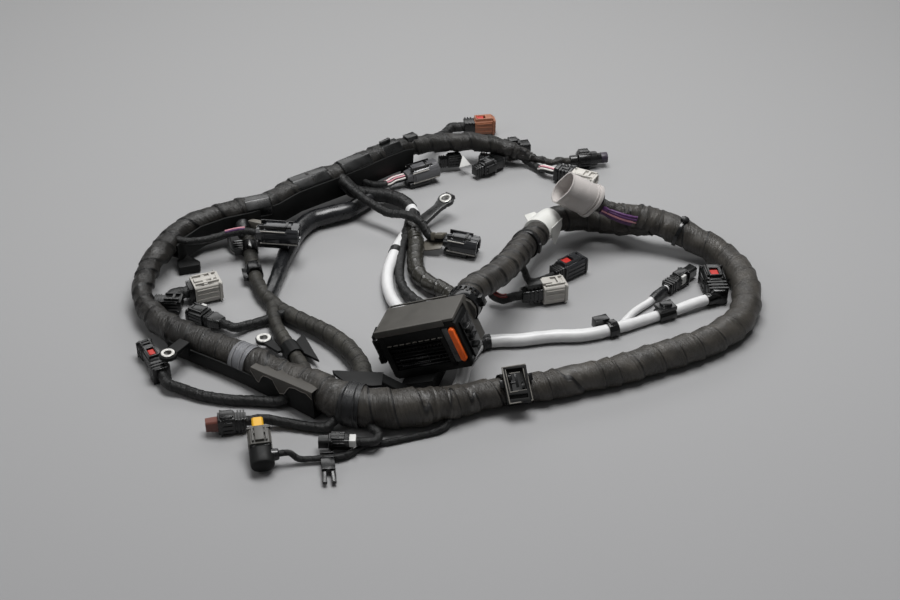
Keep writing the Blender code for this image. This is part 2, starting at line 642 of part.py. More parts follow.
# Branches that end in plugs
brown_cable = cord("brown_cable", [
    (-24, 222, 33, 11), (-20, 240, 28, 11), (-12, 260, 20, 11), (-2, 284, 12, 11),
] + tail_points(BROWN, 11.0), 13.0, 2, TAPE_DARK, start_on=[trunk])
short_branch = cord("short_branch", [
    (79, 232, 19, 8), (92, 229, 8, 8), (108, 213, 6, 8),
] + tail_points(SPARE, 8.0), 9.0, 2, TAPE_DARK, start_on=[trunk])
shiny_middle_cable = cord("shiny_middle_cable", [
    (-104, 168, 34, 8), (-97, 160, 26, 8), (-82, 159, 18, 8), (-66, 166, 14, 8),
] + tail_points(SHINY_MIDDLE, 8.0), 10.0, 2, TAPE_DARK, start_on=[rail, sleeve_a])
shiny_right_cable = cord("shiny_right_cable", [
    (-118, 152, 35, 9), (-108, 134, 34, 9), (-94, 118, 30, 9), (-80, 106, 26, 9), (-62, 94, 22, 9),
    (-43, 78, 29, 9), (-28, 67, 28, 9),
] + tail_points(SHINY_RIGHT, 9.0), 11.0, 2, TAPE_DARK, start_on=[rail, sleeve_a])
shiny_left_cable = cord("shiny_left_cable", [
    (-283, 32, 31, 7.5), (-264, 22, 32, 7.5), (-246, 28, 30, 7.5), (-225, 35, 32, 7.5),
] + tail_points(SHINY_LEFT, 7.5), 10.0, 2, TAPE_DARK, start_on=[rail, middle])
left_grey_cable = cord("left_grey_cable", [
    (-284, -92, 15, 12), (-280, -76, 8, 12), (-277, -60, 7, 12),
] + tail_points(LEFT_GREY, 12.0), 10.0, 2, TAPE_DARK, start_on=[trunk])
taped_cable = cord("taped_cluster_cable", [
    (-156, -74, 11, 9), (-176, -80, 6, 9), (-192, -88, 6, 9),
] + tail_points(TAPED, 9.0), 10.0, 2, TAPE_DARK, start_on=[middle, second])
left_loop_cable = cord("left_loop_cable", [
    (-131, -192, 17, 10), (-146, -206, 8, 10), (-170, -204, 5, 10), (-195, -202, 5, 10), (-219, -197, 5, 10),
    (-240, -188, 6, 10),
] + tail_points(LEFT_LOOP, 10.0), 12.0, 2, TAPE_DARK, start_on=[trunk, protector])
brown_tip_cable = cord("brown_tip_cable", [
    (-89, -226, 17, 9), (-104, -242, 7, 9), (-120, -240, 5, 9), (-140, -236, 6, 9),
] + tail_points(BROWN_TIP, 9.0), 10.0, 2, TAPE_DARK, start_on=[trunk])
yellow_cable = cord("yellow_cable", [
    (6, -225, 12, 5.5), (0, -240, 5, 5.5), (-24, -250, 3, 5.5), (-48, -258, 3, 5.5), (-69, -264, 3, 5.5),
    (-86, -278, 4.5, 5.5), (-106, -282, 5, 5.5), (-125, -284, 5.5, 5.5),
] + tail_points(YELLOW_ENTRY, 5.5), 9.0, 2, TAPE_DARK, start_on=[trunk])
small_dark_cable = cord("small_dark_cable", [
    (-71, -226, 16, 8), (-64, -248, 10, 8), (-58, -257, 12, 8), (-60, -266, 11, 8),
] + tail_points(SMALL_DARK, 8.0, reach=9.0), 8.0, 2, TAPE_DARK, start_on=[trunk])
light_grey_cable = cord("light_grey_cable", [
    (58, -52, 48, 9), (46, -44, 30, 9), (46, -46, 14, 9), (56, -50, 10, 9),
] + tail_points(LIGHT_GREY, 9.0, reach=9.0), 9.0, 2, TAPE_DARK, start_on=[unit_trunk])
red_locked_cable = cord("red_lock_cable", [
    (70, -28, 46, 7), (78, -24, 28, 7), (84, -20, 12, 7), (94, -16, 9, 7),
] + tail_points(RED_LOCKED, 7.0, reach=8.0), 9.0, 2, TAPE_DARK, start_on=[unit_trunk])


def lock(name, matrix, size, centre, colour):
    """Small sliding catch with a raised thumb edge, its origin on its sliding line."""
    length, width, height = size
    x, y, z = centre
    back, front = x - length / 2, x + length / 2
    body = plug_body(name, [(back, width, height, y, z), (front, width, height, y, z)], 0.5)
    thumb = block(back, back + 1.5, y - width / 2 + 0.5, y + width / 2 - 0.5, z, z + height / 2 + 1)
    fuse(body, thumb)
    return place(body, matrix, colour, 0.5, origin=centre)


def lock_slot(size, centre, travel, top):
    """Cutter for a catch and its travel, open at the top."""
    length, width, height = size
    x, y, z = centre
    return block(x - length / 2 - LOCK_GAP, x + length / 2 + travel + LOCK_GAP, y - width / 2 - LOCK_GAP,
                 y + width / 2 + LOCK_GAP, z - height / 2 - LOCK_GAP, top)


# Brown plug with its lock
brown = plug_body("brown_connector", [
    (0.0, 14.0, 16.0), (12.0, 14.0, 16.0), (12.0, 13.0, 18.0), (37.0, 13.0, 18.0), (37.0, 10.0, 15.0),
    (26.0, 9.0, 14.0), (26.0, 5.0, 9.0), (34.0, 5.0, 9.0),
])
BROWN_LOCK_SIZE, BROWN_LOCK_AT = (8.0, 7.0, 4.0), (19.0, 0.0, 9.0)
fuse(brown, block(13.0, 33.0, -5.5, 5.5, 8.0, 12.0))
cut(brown, lock_slot(BROWN_LOCK_SIZE, BROWN_LOCK_AT, 2.0, 14.0))
place(brown, BROWN, "5a4436", 0.5)
lock("brown_lock", BROWN, BROWN_LOCK_SIZE, BROWN_LOCK_AT, "a8291f")

# Plug with the raised tab, its back boot reaching the trunk
tabbed = plug_body("tab_connector", [
    (-8.0, 10.0, 10.0), (4.0, 12.0, 12.0), (4.0, 18.0, 16.0), (20.0, 18.0, 16.0), (20.0, 15.0, 13.0),
    (30.0, 15.0, 13.0), (30.0, 12.0, 10.0), (27.5, 12.0, 10.0),
])
fuse(tabbed, block(5.0, 15.0, -5.0, 5.0, 7.0, 13.0), block(8.0, 24.0, 8.0, 10.5, -4.0, 4.0))
place(tabbed, TABBED, SOFT_BLACK, 0.5)

# Round plug at the trunk's end
round_plug = turned("round_connector", [
    (0.0, 11.0), (8.0, 12.0), (9.0, 20.0), (23.0, 20.0), (23.5, 16.5), (31.0, 16.5), (31.5, 12.0),
    (43.0, 11.5), (43.0, 8.5), (40.5, 8.5),
], 12)
fuse(round_plug, block(10.0, 21.0, -4.0, 4.0, 8.0, 12.0))
place(round_plug, ROUND, BLACK, 0.45)

# Spare plug: round flange, windowed body and flat housing
spare = plug_body("spare_connector", [
    (0.0, 18.0, 17.0), (5.0, 18.0, 17.0), (5.0, 15.0, 15.0), (19.0, 15.0, 15.0), (19.0, 19.0, 12.0),
    (48.0, 19.0, 12.0), (48.0, 15.0, 9.0), (45.5, 15.0, 9.0),
], 3.0)
fuse(spare, block(24.0, 34.0, -5.0, 5.0, 5.5, 8.5), block(8.0, 16.0, -3.0, 3.0, 7.0, 9.0))
place(spare, SPARE, PALE, 0.5)

# Plug lying under the trunk, its boot reaching the trunk's side
cluster = plug_body("cluster_connector", [
    (-6.0, 9.0, 9.0), (4.0, 11.0, 11.0), (4.0, 14.0, 14.0), (22.0, 14.0, 14.0), (22.0, 12.5, 12.5),
    (33.0, 12.5, 12.5), (33.0, 9.5, 9.5), (30.5, 9.5, 9.5),
])
fuse(cluster, block(8.0, 20.0, -4.0, 4.0, 6.5, 9.0), block(8.0, 20.0, -9.0, -6.5, -4.0, 4.0))
place(cluster, CLUSTER, BLACK, 0.5)


def shiny_plug(name, matrix, length, width, height, colour):
    """Glossy plug with a stepped mouth, a latch bridge and a block slung under its back."""
    body = plug_body(name, [
        (0.0, width - 6, height - 8), (6.0, width - 4, height - 6), (6.0, width, height - 4),
        (length - 12.0, width, height - 4), (length - 12.0, width - 2, height), (length, width - 2, height),
        (length, width - 6, height - 4), (length - 9.0, width - 6, height - 4),
        (length - 9.0, width - 12, height - 10), (length - 2.0, width - 12, height - 10),
    ], 2.5)
    top = height / 2 - 2
    fuse(body, block(10.0, length - 8.0, -5.0, 5.0, top - 1, top + 3),
         block(2.0, length - 16.0, -width / 2 + 2, width / 2 - 2, -height / 2 - 2, -height / 2 + 3))
    return place(body, matrix, colour, 0.28)


shiny_plug("shiny_middle", SHINY_MIDDLE, 38.0, 20.0, 18.0, "77736c")
shiny_plug("shiny_right", SHINY_RIGHT, 36.0, 20.0, 18.0, "3a3a38")
shiny_plug("shiny_left", SHINY_LEFT, 44.0, 20.0, 20.0, "4d4c4a")

# Light grey block plug at the left
left_grey = plug_body("left_grey_connector", [
    (0.0, 16.0, 14.0), (5.0, 16.0, 14.0), (5.0, 24.0, 20.0), (33.0, 24.0, 20.0), (33.0, 20.0, 16.0),
    (22.0, 20.0, 16.0), (22.0, 13.0, 9.0), (30.0, 13.0, 9.0),
])
fuse(left_grey, block(7.0, 29.0, -3.0, 3.0, 9.0, 12.0), block(15.0, 19.0, -10.0, 10.0, 9.0, 11.5))
place(left_grey, LEFT_GREY, "a29e98", 0.55)

# Taped pair
taped = plug_body("taped_cluster_connector", [
    (0.0, 12.0, 10.0), (12.0, 16.0, 12.0), (12.0, 12.0, 9.0), (19.0, 12.0, 9.0), (19.0, 17.0, 14.0),
    (39.0, 16.0, 12.0), (39.0, 12.0, 9.0), (36.5, 12.0, 9.0),
])
fuse(taped, block(21.0, 33.0, -4.0, 4.0, 5.0, 9.0))
place(taped, TAPED, BLACK, 0.5)

# Left loop plug with its lock
left_loop = plug_body("left_loop_connector", [
    (0.0, 16.0, 16.0), (14.0, 16.0, 16.0), (14.0, 12.0, 13.0), (38.0, 12.0, 13.0), (38.0, 14.0, 15.0),
    (51.0, 14.0, 15.0), (51.0, 11.0, 12.0), (48.5, 11.0, 12.0),
])
LOOP_LOCK_SIZE, LOOP_LOCK_AT = (9.0, 6.0, 4.0), (26.0, 0.0, 7.5)
fuse(left_loop, block(20.0, 39.0, -5.0, 5.0, 5.5, 10.0))
cut(left_loop, lock_slot(LOOP_LOCK_SIZE, LOOP_LOCK_AT, 2.5, 12.0))
place(left_loop, LEFT_LOOP, "2b2b2c", 0.45)
lock("left_loop_lock", LEFT_LOOP, LOOP_LOCK_SIZE, LOOP_LOCK_AT, "a02a22")

# Brown tipped plug
brown_tip = plug_body("brown_tip_connector", [
    (0.0, 12.0, 13.0), (10.0, 13.0, 14.0), (10.0, 14.0, 17.0), (25.0, 14.0, 17.0), (25.0, 10.0, 12.0),
    (36.0, 9.0, 11.0), (36.0, 6.5, 8.5), (33.5, 6.5, 8.5),
])
fuse(brown_tip, block(11.0, 23.0, -4.0, 4.0, 8.0, 11.0))
place(brown_tip, BROWN_TIP, "2c2a29", 0.5)

# Yellow topped plug: elbow, grey body and cap in one housing
yellow_top = plug_body("yellow_top_connector", [
    (-4.0, 16.0, 12.0), (12.0, 16.0, 14.0), (12.0, 14.0, 13.0), (14.0, 19.0, 17.0), (33.0, 19.0, 17.0),
    (33.0, 10.5, 10.0), (45.0, 10.0, 9.5), (45.0, 7.5, 7.0), (42.5, 7.5, 7.0),
])
fuse(yellow_top, block(16.0, 31.0, -4.0, 4.0, 8.0, 11.0))
place(yellow_top, YELLOW_TOP, "6f6d6a", 0.5)

# Small dark plug
small_dark = plug_body("small_dark_connector", [
    (0.0, 9.0, 8.0), (6.0, 12.0, 11.0), (22.0, 12.0, 11.0), (22.0, 10.0, 9.0), (31.0, 10.0, 9.0),
    (31.0, 7.5, 6.5), (28.5, 7.5, 6.5),
], 1.0)
fuse(small_dark, block(8.0, 20.0, -3.0, 3.0, 5.0, 7.5))
place(small_dark, SMALL_DARK, "35363a", 0.5)

# Light grey plug on the control unit trunk
light_grey = plug_body("light_grey_connector", [
    (0.0, 12.0, 12.0), (6.0, 14.0, 13.0), (21.0, 14.0, 13.0), (21.0, 20.0, 20.0), (46.0, 20.0, 20.0),
    (46.0, 16.0, 16.0), (34.0, 16.0, 16.0), (34.0, 9.5, 9.5), (43.0, 9.5, 9.5),
])
fuse(light_grey, block(6.0, 30.0, -4.0, 4.0, 8.0, 12.5))
place(light_grey, LIGHT_GREY, "9b9894", 0.5)

# Grey plug with the red lock
red_locked = plug_body("red_lock_connector", [
    (0.0, 12.0, 12.0), (10.0, 14.0, 14.0), (10.0, 18.0, 16.0), (40.0, 18.0, 16.0), (40.0, 15.0, 13.0),
    (29.0, 14.0, 12.0), (29.0, 7.5, 5.5), (37.0, 7.5, 5.5),
])
RED_LOCK_SIZE, RED_LOCK_AT = (9.0, 8.0, 4.0), (17.0, 0.0, 8.5)
fuse(red_locked, block(10.5, 32.0, -6.0, 6.0, 7.0, 11.5))
cut(red_locked, lock_slot(RED_LOCK_SIZE, RED_LOCK_AT, 2.5, 14.0))
place(red_locked, RED_LOCKED, "5d5c5a", 0.5)
lock("red_lock", RED_LOCKED, RED_LOCK_SIZE, RED_LOCK_AT, "b02c20")

# Plug on the thin sleeve
thin_end = plug_body("thin_sleeve_connector", [
    (0.0, 10.0, 10.0), (14.0, 12.0, 12.0), (14.0, 13.0, 14.0), (32.0, 13.0, 14.0), (32.0, 11.0, 12.0),
    (45.0, 11.0, 12.0), (45.0, 8.0, 9.0), (42.5, 8.0, 9.0),
])
fuse(thin_end, block(16.0, 30.0, -3.5, 3.5, 6.0, 9.5))
place(thin_end, THIN_END, "26272a", 0.5)

# Booted plug on the sleeve's end, its cable entering from the side
boot = plug_body("boot_connector", [
    (0.0, 16.0, 16.0), (2.0, 18.0, 18.0), (20.0, 18.0, 18.0), (20.0, 15.0, 16.0), (22.0, 22.0, 19.0),
    (44.0, 22.0, 19.0), (44.0, 18.0, 15.0), (41.5, 18.0, 15.0),
], 3.0)
BOOT_LOCK_SIZE, BOOT_LOCK_AT = (9.0, 8.0, 4.0), (28.0, 0.0, 10.0)
elbow = turned("elbow", [(-ELBOW_REACH, 13.0), (4.0, 14.0)], 12)
elbow.data.transform(BOOT.inverted() @ BOOT_ELBOW)
fuse(boot, elbow, block(22.0, 42.0, -6.0, 6.0, 8.5, 13.0))
cut(boot, lock_slot(BOOT_LOCK_SIZE, BOOT_LOCK_AT, 2.5, 15.0))
place(boot, BOOT, "2a2b2e", 0.45)
lock("boot_lock", BOOT, BOOT_LOCK_SIZE, BOOT_LOCK_AT, "a8291f")

# Frame clip on the trunk's near run
def saddle_section(radius):
    """Open ring over the trunk, as (y, z) pairs."""
    return collar_outline(radius + CLIP_GAP, CLIP_WALL, -30.0, 210.0, 10)


clip_frame, clip_radius = on_cord("main_trunk", (62, -199, 14))
saddle = follow("frame_clip", "main_trunk", (51, -202, 14), (73, -196, 14), saddle_section)
PLATE_TURN = Matrix.Rotation(math.radians(-38.0), 4, "X")
plate_z = clip_radius + CLIP_GAP + CLIP_WALL - 0.5
plate = block(-11.0, 11.0, -17.0, 17.0, plate_z, plate_z + 5.0)
tray = block(-8.5, 8.5, -14.5, 6.0, plate_z + 1.5, plate_z + 6.0)
window = block(-8.5, 8.5, 9.5, 13.3, plate_z - 1.0, plate_z + 6.0)
cut(plate, tray, window)
fuse(plate, block(-4.7, 4.7, -10.8, 7.0, plate_z + 1.0, plate_z + 4.0))
plate.data.transform(clip_frame @ PLATE_TURN)
fuse(saddle, plate)
place(saddle, WORLD, "2b2c2c", 0.5)

# Clips on the sleeve
twin_frame, twin_radius = on_cord("sleeve_b_cable", (161, -95, 6))
twin_outline = collar_outline(twin_radius + CLIP_GAP, CLIP_WALL, -40.0, 220.0, 8)
twin = along_x("twin_clip", [(-5.0, twin_outline), (5.0, twin_outline)])
twin_side = twin_radius + CLIP_GAP + 0.6
fuse(twin, block(-14.0, 1.0, twin_side, twin_side + 9.0, -2.0, 8.0),
     block(-3.0, 3.0, -3.0, 3.0, twin_side, twin_side + 3.0))
place(twin, twin_frame, SOFT_BLACK, 0.45)

block_frame, block_radius = on_cord("sleeve_b_cable", (214, -66, 6))
block_outline = collar_outline(block_radius + CLIP_GAP, CLIP_WALL, -35.0, 215.0, 8)
block_clip = along_x("block_clip", [(-9.0, block_outline), (9.0, block_outline)])
block_top = block_radius + CLIP_GAP + CLIP_WALL
fuse(block_clip, block(-9.0, 9.0, -7.0, 7.0, block_top - 1.5, block_top + 2.5),
     block(-5.0, 5.0, -4.0, 4.0, block_top, block_top + 5.0))
place(block_clip, block_frame, BLACK, 0.45)

# Fork clip on the yellow plug's cable
fork_frame, fork_radius = on_cord("yellow_cable", (-102, -281, 3))
fork_outline = collar_outline(fork_radius + CLIP_GAP, 1.4, -230.0, 50.0, 8)
fork = along_x("fork_clip", [(-6.0, fork_outline), (6.0, fork_outline)])
fork_y = fork_radius + CLIP_GAP + 0.8
prongs = [block(x, x + 4.1, fork_y + 13.0, fork_y + 28.0, -2.2, 0.8) for x in (-6.0, 1.9)]
fuse(fork, block(-6.0, 6.0, fork_y, fork_y + 14.0, -2.2, 3.0), *prongs)
place(fork, fork_frame, SOFT_BLACK, 0.45)

# Guard on the second leg with its small eyelet
guard_frame, guard_radius = on_cord("second_leg", (-145, -132, 7))
guard_outline = collar_outline(guard_radius + CLIP_GAP, CLIP_WALL, -40.0, 220.0, 8)
guard = along_x("leg_guard", [(-9.0, guard_outline), (9.0, guard_outline)])
guard_edge = guard_radius + CLIP_GAP + CLIP_WALL
fin = slab([(-12.0, guard_edge - 1.0), (8.0, guard_edge - 1.0), (26.0, guard_edge + 8.0),
            (-22.0, guard_edge + 11.0)], -1.5, 1.5)
LUG_AT = Matrix.Translation((-31.0, -17.0, 0.0))
lug = turned("lug", [(-1.8, 16.0), (1.8, 16.0)], 12)
lug.data.transform(LUG_AT @ UPRIGHT)
lug_arm = slab([(-31.0, -10.5), (-5.0, -guard_edge + 1.0), (-5.0, -guard_edge - 4.0), (-27.0, -21.0)],
               -1.5, 1.5)
lug_hole = turned("hole", [(-5.0, 7.6), (5.0, 7.6)], 12)
lug_hole.data.transform(LUG_AT @ UPRIGHT)
fuse(lug, lug_arm)
cut(lug, lug_hole)
fuse(guard, fin, lug)
place(guard, guard_frame, BLACK, 0.5)

# The whole stands over the row's origin
for obj in bpy.context.scene.objects:
    obj.location -= Vector(CENTRE) * MM
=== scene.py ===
"""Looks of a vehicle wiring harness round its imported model: taped cords, moulded plugs, clips and eyelets.

Tables are in millimetres. X runs to the right, Y away from the viewer, Z up. CENTRE is the place in them
of the model's origin. Cord routes repeat the ones that the model is built from.
"""
import math

import bmesh
import bpy
from mathutils import Matrix, Vector, noise


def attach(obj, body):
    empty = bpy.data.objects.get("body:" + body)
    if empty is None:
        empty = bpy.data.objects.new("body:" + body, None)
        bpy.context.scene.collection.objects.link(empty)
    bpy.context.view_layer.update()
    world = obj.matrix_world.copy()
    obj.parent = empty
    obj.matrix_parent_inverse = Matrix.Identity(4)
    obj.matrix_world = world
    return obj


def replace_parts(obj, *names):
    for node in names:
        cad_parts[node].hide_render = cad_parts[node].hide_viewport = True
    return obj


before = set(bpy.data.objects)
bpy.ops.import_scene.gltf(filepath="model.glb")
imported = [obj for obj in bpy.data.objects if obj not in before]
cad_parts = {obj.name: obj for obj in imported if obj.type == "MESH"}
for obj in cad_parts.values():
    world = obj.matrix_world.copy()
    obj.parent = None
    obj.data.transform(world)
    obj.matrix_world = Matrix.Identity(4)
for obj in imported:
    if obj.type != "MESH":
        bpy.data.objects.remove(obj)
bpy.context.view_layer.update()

MM = 0.001
CENTRE = Vector((2.3, 0.8, 0.0))
HOME = Matrix.Scale(MM, 4) @ Matrix.Translation(-CENTRE)
BODY = "harness"

# Cord sampling, dense, and for the tube's rows; the run of a cord's end into its plug
FINE_STEP = 1.0
ROW_STEP = 2.0
TAIL = 15.0
STRAIGHT = 4.0
ENTRY = 2.0

# Camera
ELEVATION = 35.0
DISTANCE = 1.5
LENS = 60.0
AIM = Vector((0.0022, -0.0378, 0.0))

# Across this stretch of X less Y, in metres, the trunk's tape is darkened less and less, from its darkest at
# the left end to its own colour at the right
LEFT_RUN = -0.2
RIGHT_RUN = 0.3

# Edges that turn by more degrees than these are rounded on solids, and kept sharp on repeats
SHARP_TURN = 32.0
SMOOTH_TURN = 35.0

# How far a latch rail stands off a plug
LATCH_RISE = 2.2

# Studio
FLOOR_SIZE = 40.0
SKY_STRENGTH = 0.14

# Control unit plug
UNIT_WIDTH = 82.0
UNIT_HEIGHT = 50.0
COVER_DEPTH = 44.0
SPIGOT_Y = 72.0
SPIGOT_Z = 38.0
SPIGOT_LENGTH = 12.0
SPIGOT_RADIUS = 15.0


def linear(hex_colour):
    """Linear RGBA of an sRGB hex colour."""
    channels = [int(hex_colour[i:i + 2], 16) / 255.0 for i in (0, 2, 4)]
    return [c / 12.92 if c <= 0.04045 else ((c + 0.055) / 1.055) ** 2.4 for c in channels] + [1.0]


def add(tree, kind, settings=None, links=None):
    """Add a node, give it settings by property or socket name, and link its inputs."""
    made = tree.nodes.new(kind)
    for key, value in (settings or {}).items():
        if isinstance(key, str) and hasattr(made, key):
            setattr(made, key, value)
        else:
            made.inputs[key].default_value = value
    for key, source in (links or {}).items():
        tree.links.new(source, made.inputs[key])
    return made


def blank(name, roughness, metallic=0.0, **sockets):
    """Material with its tree and shader, constants set on the shader itself."""
    made = bpy.data.materials.new(name)
    made.use_nodes = True
    shader = made.node_tree.nodes["Principled BSDF"]
    shader.inputs["Roughness"].default_value = roughness
    shader.inputs["Metallic"].default_value = metallic
    for key, value in sockets.items():
        shader.inputs[key.replace("_", " ")].default_value = value
    return made, made.node_tree, shader


def remap(tree, source, low, high, start=0.0, end=1.0):
    """A value carried from one range to another."""
    return add(tree, "ShaderNodeMapRange",
               {"From Min": low, "From Max": high, "To Min": start, "To Max": end},
               {"Value": source}).outputs["Result"]


def speckle(tree, place, size, detail):
    """Noise with spots of a size in millimetres."""
    return add(tree, "ShaderNodeTexNoise", {"Scale": 1.0 / (size * MM), "Detail": detail},
               {"Vector": place}).outputs["Fac"]


def maths(tree, operation, first, second=0.5):
    """Result of an operation on a socket with a number or a second socket."""
    made = add(tree, "ShaderNodeMath", {"operation": operation}, {0: first})
    if isinstance(second, float):
        made.inputs[1].default_value = second
    else:
        tree.links.new(second, made.inputs[1])
    return made.outputs[0]


def relief(tree, height, strength, depth, under=None):
    """Bump of a depth in millimetres, laid over another one if that is given."""
    links = {"Height": height}
    if under:
        links["Normal"] = under
    return add(tree, "ShaderNodeBump", {"Strength": strength, "Distance": depth * MM},
               links).outputs["Normal"]


def join(tree, shader, colour, gloss, normal=None):
    """Link colour, roughness and relief to a shader."""
    tree.links.new(colour, shader.inputs["Base Color"])
    tree.links.new(gloss, shader.inputs["Roughness"])
    if normal:
        tree.links.new(normal, shader.inputs["Normal"])


def moulded(name, colour, roughness, grain=0.8, spread=0.12, **sockets):
    """Moulded plastic: even colour with faint dust, a fine eroded grain and soft unevenness of gloss."""
    made, tree, shader = blank(name, roughness, **sockets)
    place = add(tree, "ShaderNodeTexCoord").outputs["Object"]
    dust = speckle(tree, place, 14.0, 4.0)
    tone = add(tree, "ShaderNodeValToRGB", {}, {"Fac": dust})
    low, high = tone.color_ramp.elements
    low.position, high.position = 0.3, 0.75
    base = linear(colour)[:3]
    low.color = [c * (1.0 - spread) for c in base] + [1.0]
    high.color = [min(1.0, c * (1.0 + spread) + 0.004) for c in base] + [1.0]
    gloss = remap(tree, dust, 0.3, 0.7, max(0.05, roughness - 0.06), min(1.0, roughness + 0.08))
    pits = relief(tree, speckle(tree, place, grain, 2.0), 0.25, 0.1)
    join(tree, shader, tone.outputs["Color"], gloss, pits)
    return made


def taped(name, colour, pale_and_highlight_colour, roughness, wrinkle=1.0, left_share=1.0, **sockets):
    """Wound tape: overlapping turns whose raised edge is painted lighter as a highlight, a painted shade line
    at the foot of each turn's step, wrinkles that run with the winding, and the colour darkened towards the
    left by left_share.
    """
    made, tree, shader = blank(name, roughness, **sockets)
    winding = add(tree, "ShaderNodeUVMap", {"uv_map": "winding"}).outputs["UV"]
    place = add(tree, "ShaderNodeTexCoord").outputs["Object"]
    along = add(tree, "ShaderNodeSeparateXYZ", {}, {"Vector": winding}).outputs["X"]
    turn = maths(tree, "FRACT", along)
    # edge: each turn's raised edge, lifted by the bump and painted lighter in the colour as a highlight
    edge = remap(tree, turn, 0.08, 0.24, 1.0, 0.0)
    # painted shade: a dark line at the foot of each turn's step
    painted_step_shade = remap(tree, turn, 0.05, 0.1, 0.02)
    stretch = add(tree, "ShaderNodeMapping", {"Scale": (5.0, 1.6, 1.0)},
                  {"Vector": winding}).outputs["Vector"]
    pulls = add(tree, "ShaderNodeTexNoise", {"Scale": 2.2, "Detail": 6.0, "Roughness": 0.62},
                {"Vector": stretch}).outputs["Fac"]
    tone = add(tree, "ShaderNodeMix", {"data_type": "RGBA", 6: linear(colour), 7: linear(pale_and_highlight_colour)})
    mottled = remap(tree, speckle(tree, place, 18.0, 5.0), 0.35, 0.72, 0.0, 0.75)
    # mottled tone is random; the turn edges add a painted highlight over it
    mottle_and_highlight = maths(tree, "MAXIMUM", mottled, maths(tree, "MULTIPLY", edge, 0.45))
    tree.links.new(mottle_and_highlight, tone.inputs["Factor"])
    across = add(tree, "ShaderNodeSeparateXYZ", {}, {"Vector": place}).outputs
    slant = maths(tree, "SUBTRACT", across["X"], across["Y"])
    # the painted step shade line, times the colour darkened towards the left down to left_share
    shade = maths(tree, "MULTIPLY", painted_step_shade, remap(tree, slant, LEFT_RUN, RIGHT_RUN, left_share))
    shaded = add(tree, "ShaderNodeMix", {"data_type": "RGBA", "blend_type": "MULTIPLY", "Factor": 1.0},
                 {6: tone.outputs[2], 7: shade})
    gloss = remap(tree, pulls, 0.3, 0.7, roughness - 0.2, roughness + 0.12)
    step = relief(tree, edge, 0.9, 1.2)
    creases = relief(tree, pulls, 0.8 * wrinkle, 1.6, step)
    weave = relief(tree, speckle(tree, place, 0.9, 2.0), 0.2, 0.15, creases)
    join(tree, shader, shaded.outputs[2], gloss, weave)
    return made


def metal(name, colour, roughness):
    """Pressed and plated steel: brushed faintly, with dull spots."""
    made, tree, shader = blank(name, roughness, 1.0)
    place = add(tree, "ShaderNodeTexCoord").outputs["Object"]
    spots = speckle(tree, place, 2.5, 4.0)
    tone = add(tree, "ShaderNodeValToRGB", {}, {"Fac": spots})
    low, high = tone.color_ramp.elements
    low.color = [c * 0.72 for c in linear(colour)[:3]] + [1.0]
    high.color = linear(colour)
    low.position, high.position = 0.3, 0.62
    join(tree, shader, tone.outputs["Color"],
         remap(tree, spots, 0.0, 1.0, roughness - 0.1, roughness + 0.15))
    return made


# Finishes
# Cloth-backed tape on the trunks: matt warm black; the raised edges of its turns are painted paler as
# highlights, with a painted shade line at the foot of each turn, and it is painted darker towards the left
TRUNK_TAPE = taped("cloth harness tape, trunk", "2c2a27", "49453f", 0.46, 1.5, 0.25, Specular_IOR_Level=0.5)
# The same tape wound on the branches, cooler and darker
BRANCH_TAPE = taped("cloth harness tape, branches", "111212", "242424", 0.45, 1.1, Specular_IOR_Level=0.38)
# The same tape on the middle branches, a warmer olive black
OLIVE_TAPE = taped("cloth harness tape, middle branches", "242320", "3c3a34", 0.55, 1.1,
                   Specular_IOR_Level=0.36)
# PVC tape in short bands
BAND_TAPE = taped("PVC tape, bands", "0e0f10", "1b1c1e", 0.4, 0.5)
# Acetate cloth tape in grey bands, with a silky sheen
GREY_TAPE = taped("acetate tape, grey", "55565a", "77787c", 0.35, 0.8, Sheen_Weight=0.3)
# The trunk's cloth tape where it is torn, and its frayed rim
TORN_TAPE = moulded("cloth harness tape, torn", "37342f", 0.5, 2.0, 0.2)
FRAYED_TAPE = moulded("cloth harness tape, frayed rim", "8a8580", 0.6, 2.0, 0.2)
# Extruded polyethylene sleeve: off-white, waxy, soft highlights along it
SLEEVE = moulded("polyethylene sleeve, extruded", "c6c6c6", 0.34, 3.0, 0.05, Subsurface_Weight=0.08,
                 Subsurface_Radius=(0.004, 0.004, 0.004))
# EPDM hose: smooth extruded rubber with a long soft highlight
HOSE = moulded("EPDM rubber hose, extruded", "141517", 0.26, 1.2, 0.2)
# Polyamide corrugated tube: hard, satin, bright on the crests
CORRUGATED = moulded("polyamide tube, corrugated", "1a1b1d", 0.3, 1.0, 0.15)
# Heat-shrunk tube: glossy, with bright bands where it bends; the raised edges of its turns are also painted
# paler as highlights
SHRINK = taped("polyolefin tube, shrunk", "24231f", "34332e", 0.2, 0.5)
# Glass-filled polyamide: the plugs' common black, satin with a fine grain
NYLON = moulded("polyamide, black moulded", "090a0a", 0.27)
# Mineral-filled polyamide of the housings and channels: deep matt black
MATT_NYLON = moulded("polyamide, matt moulded", "080909", 0.58, 0.8, 0.1, Specular_IOR_Level=0.22)
# Unfilled polyamide: glossier black of the clips and latches
GLOSS_NYLON = moulded("polyamide, glossy moulded", "0a0b0c", 0.2, 1.5)
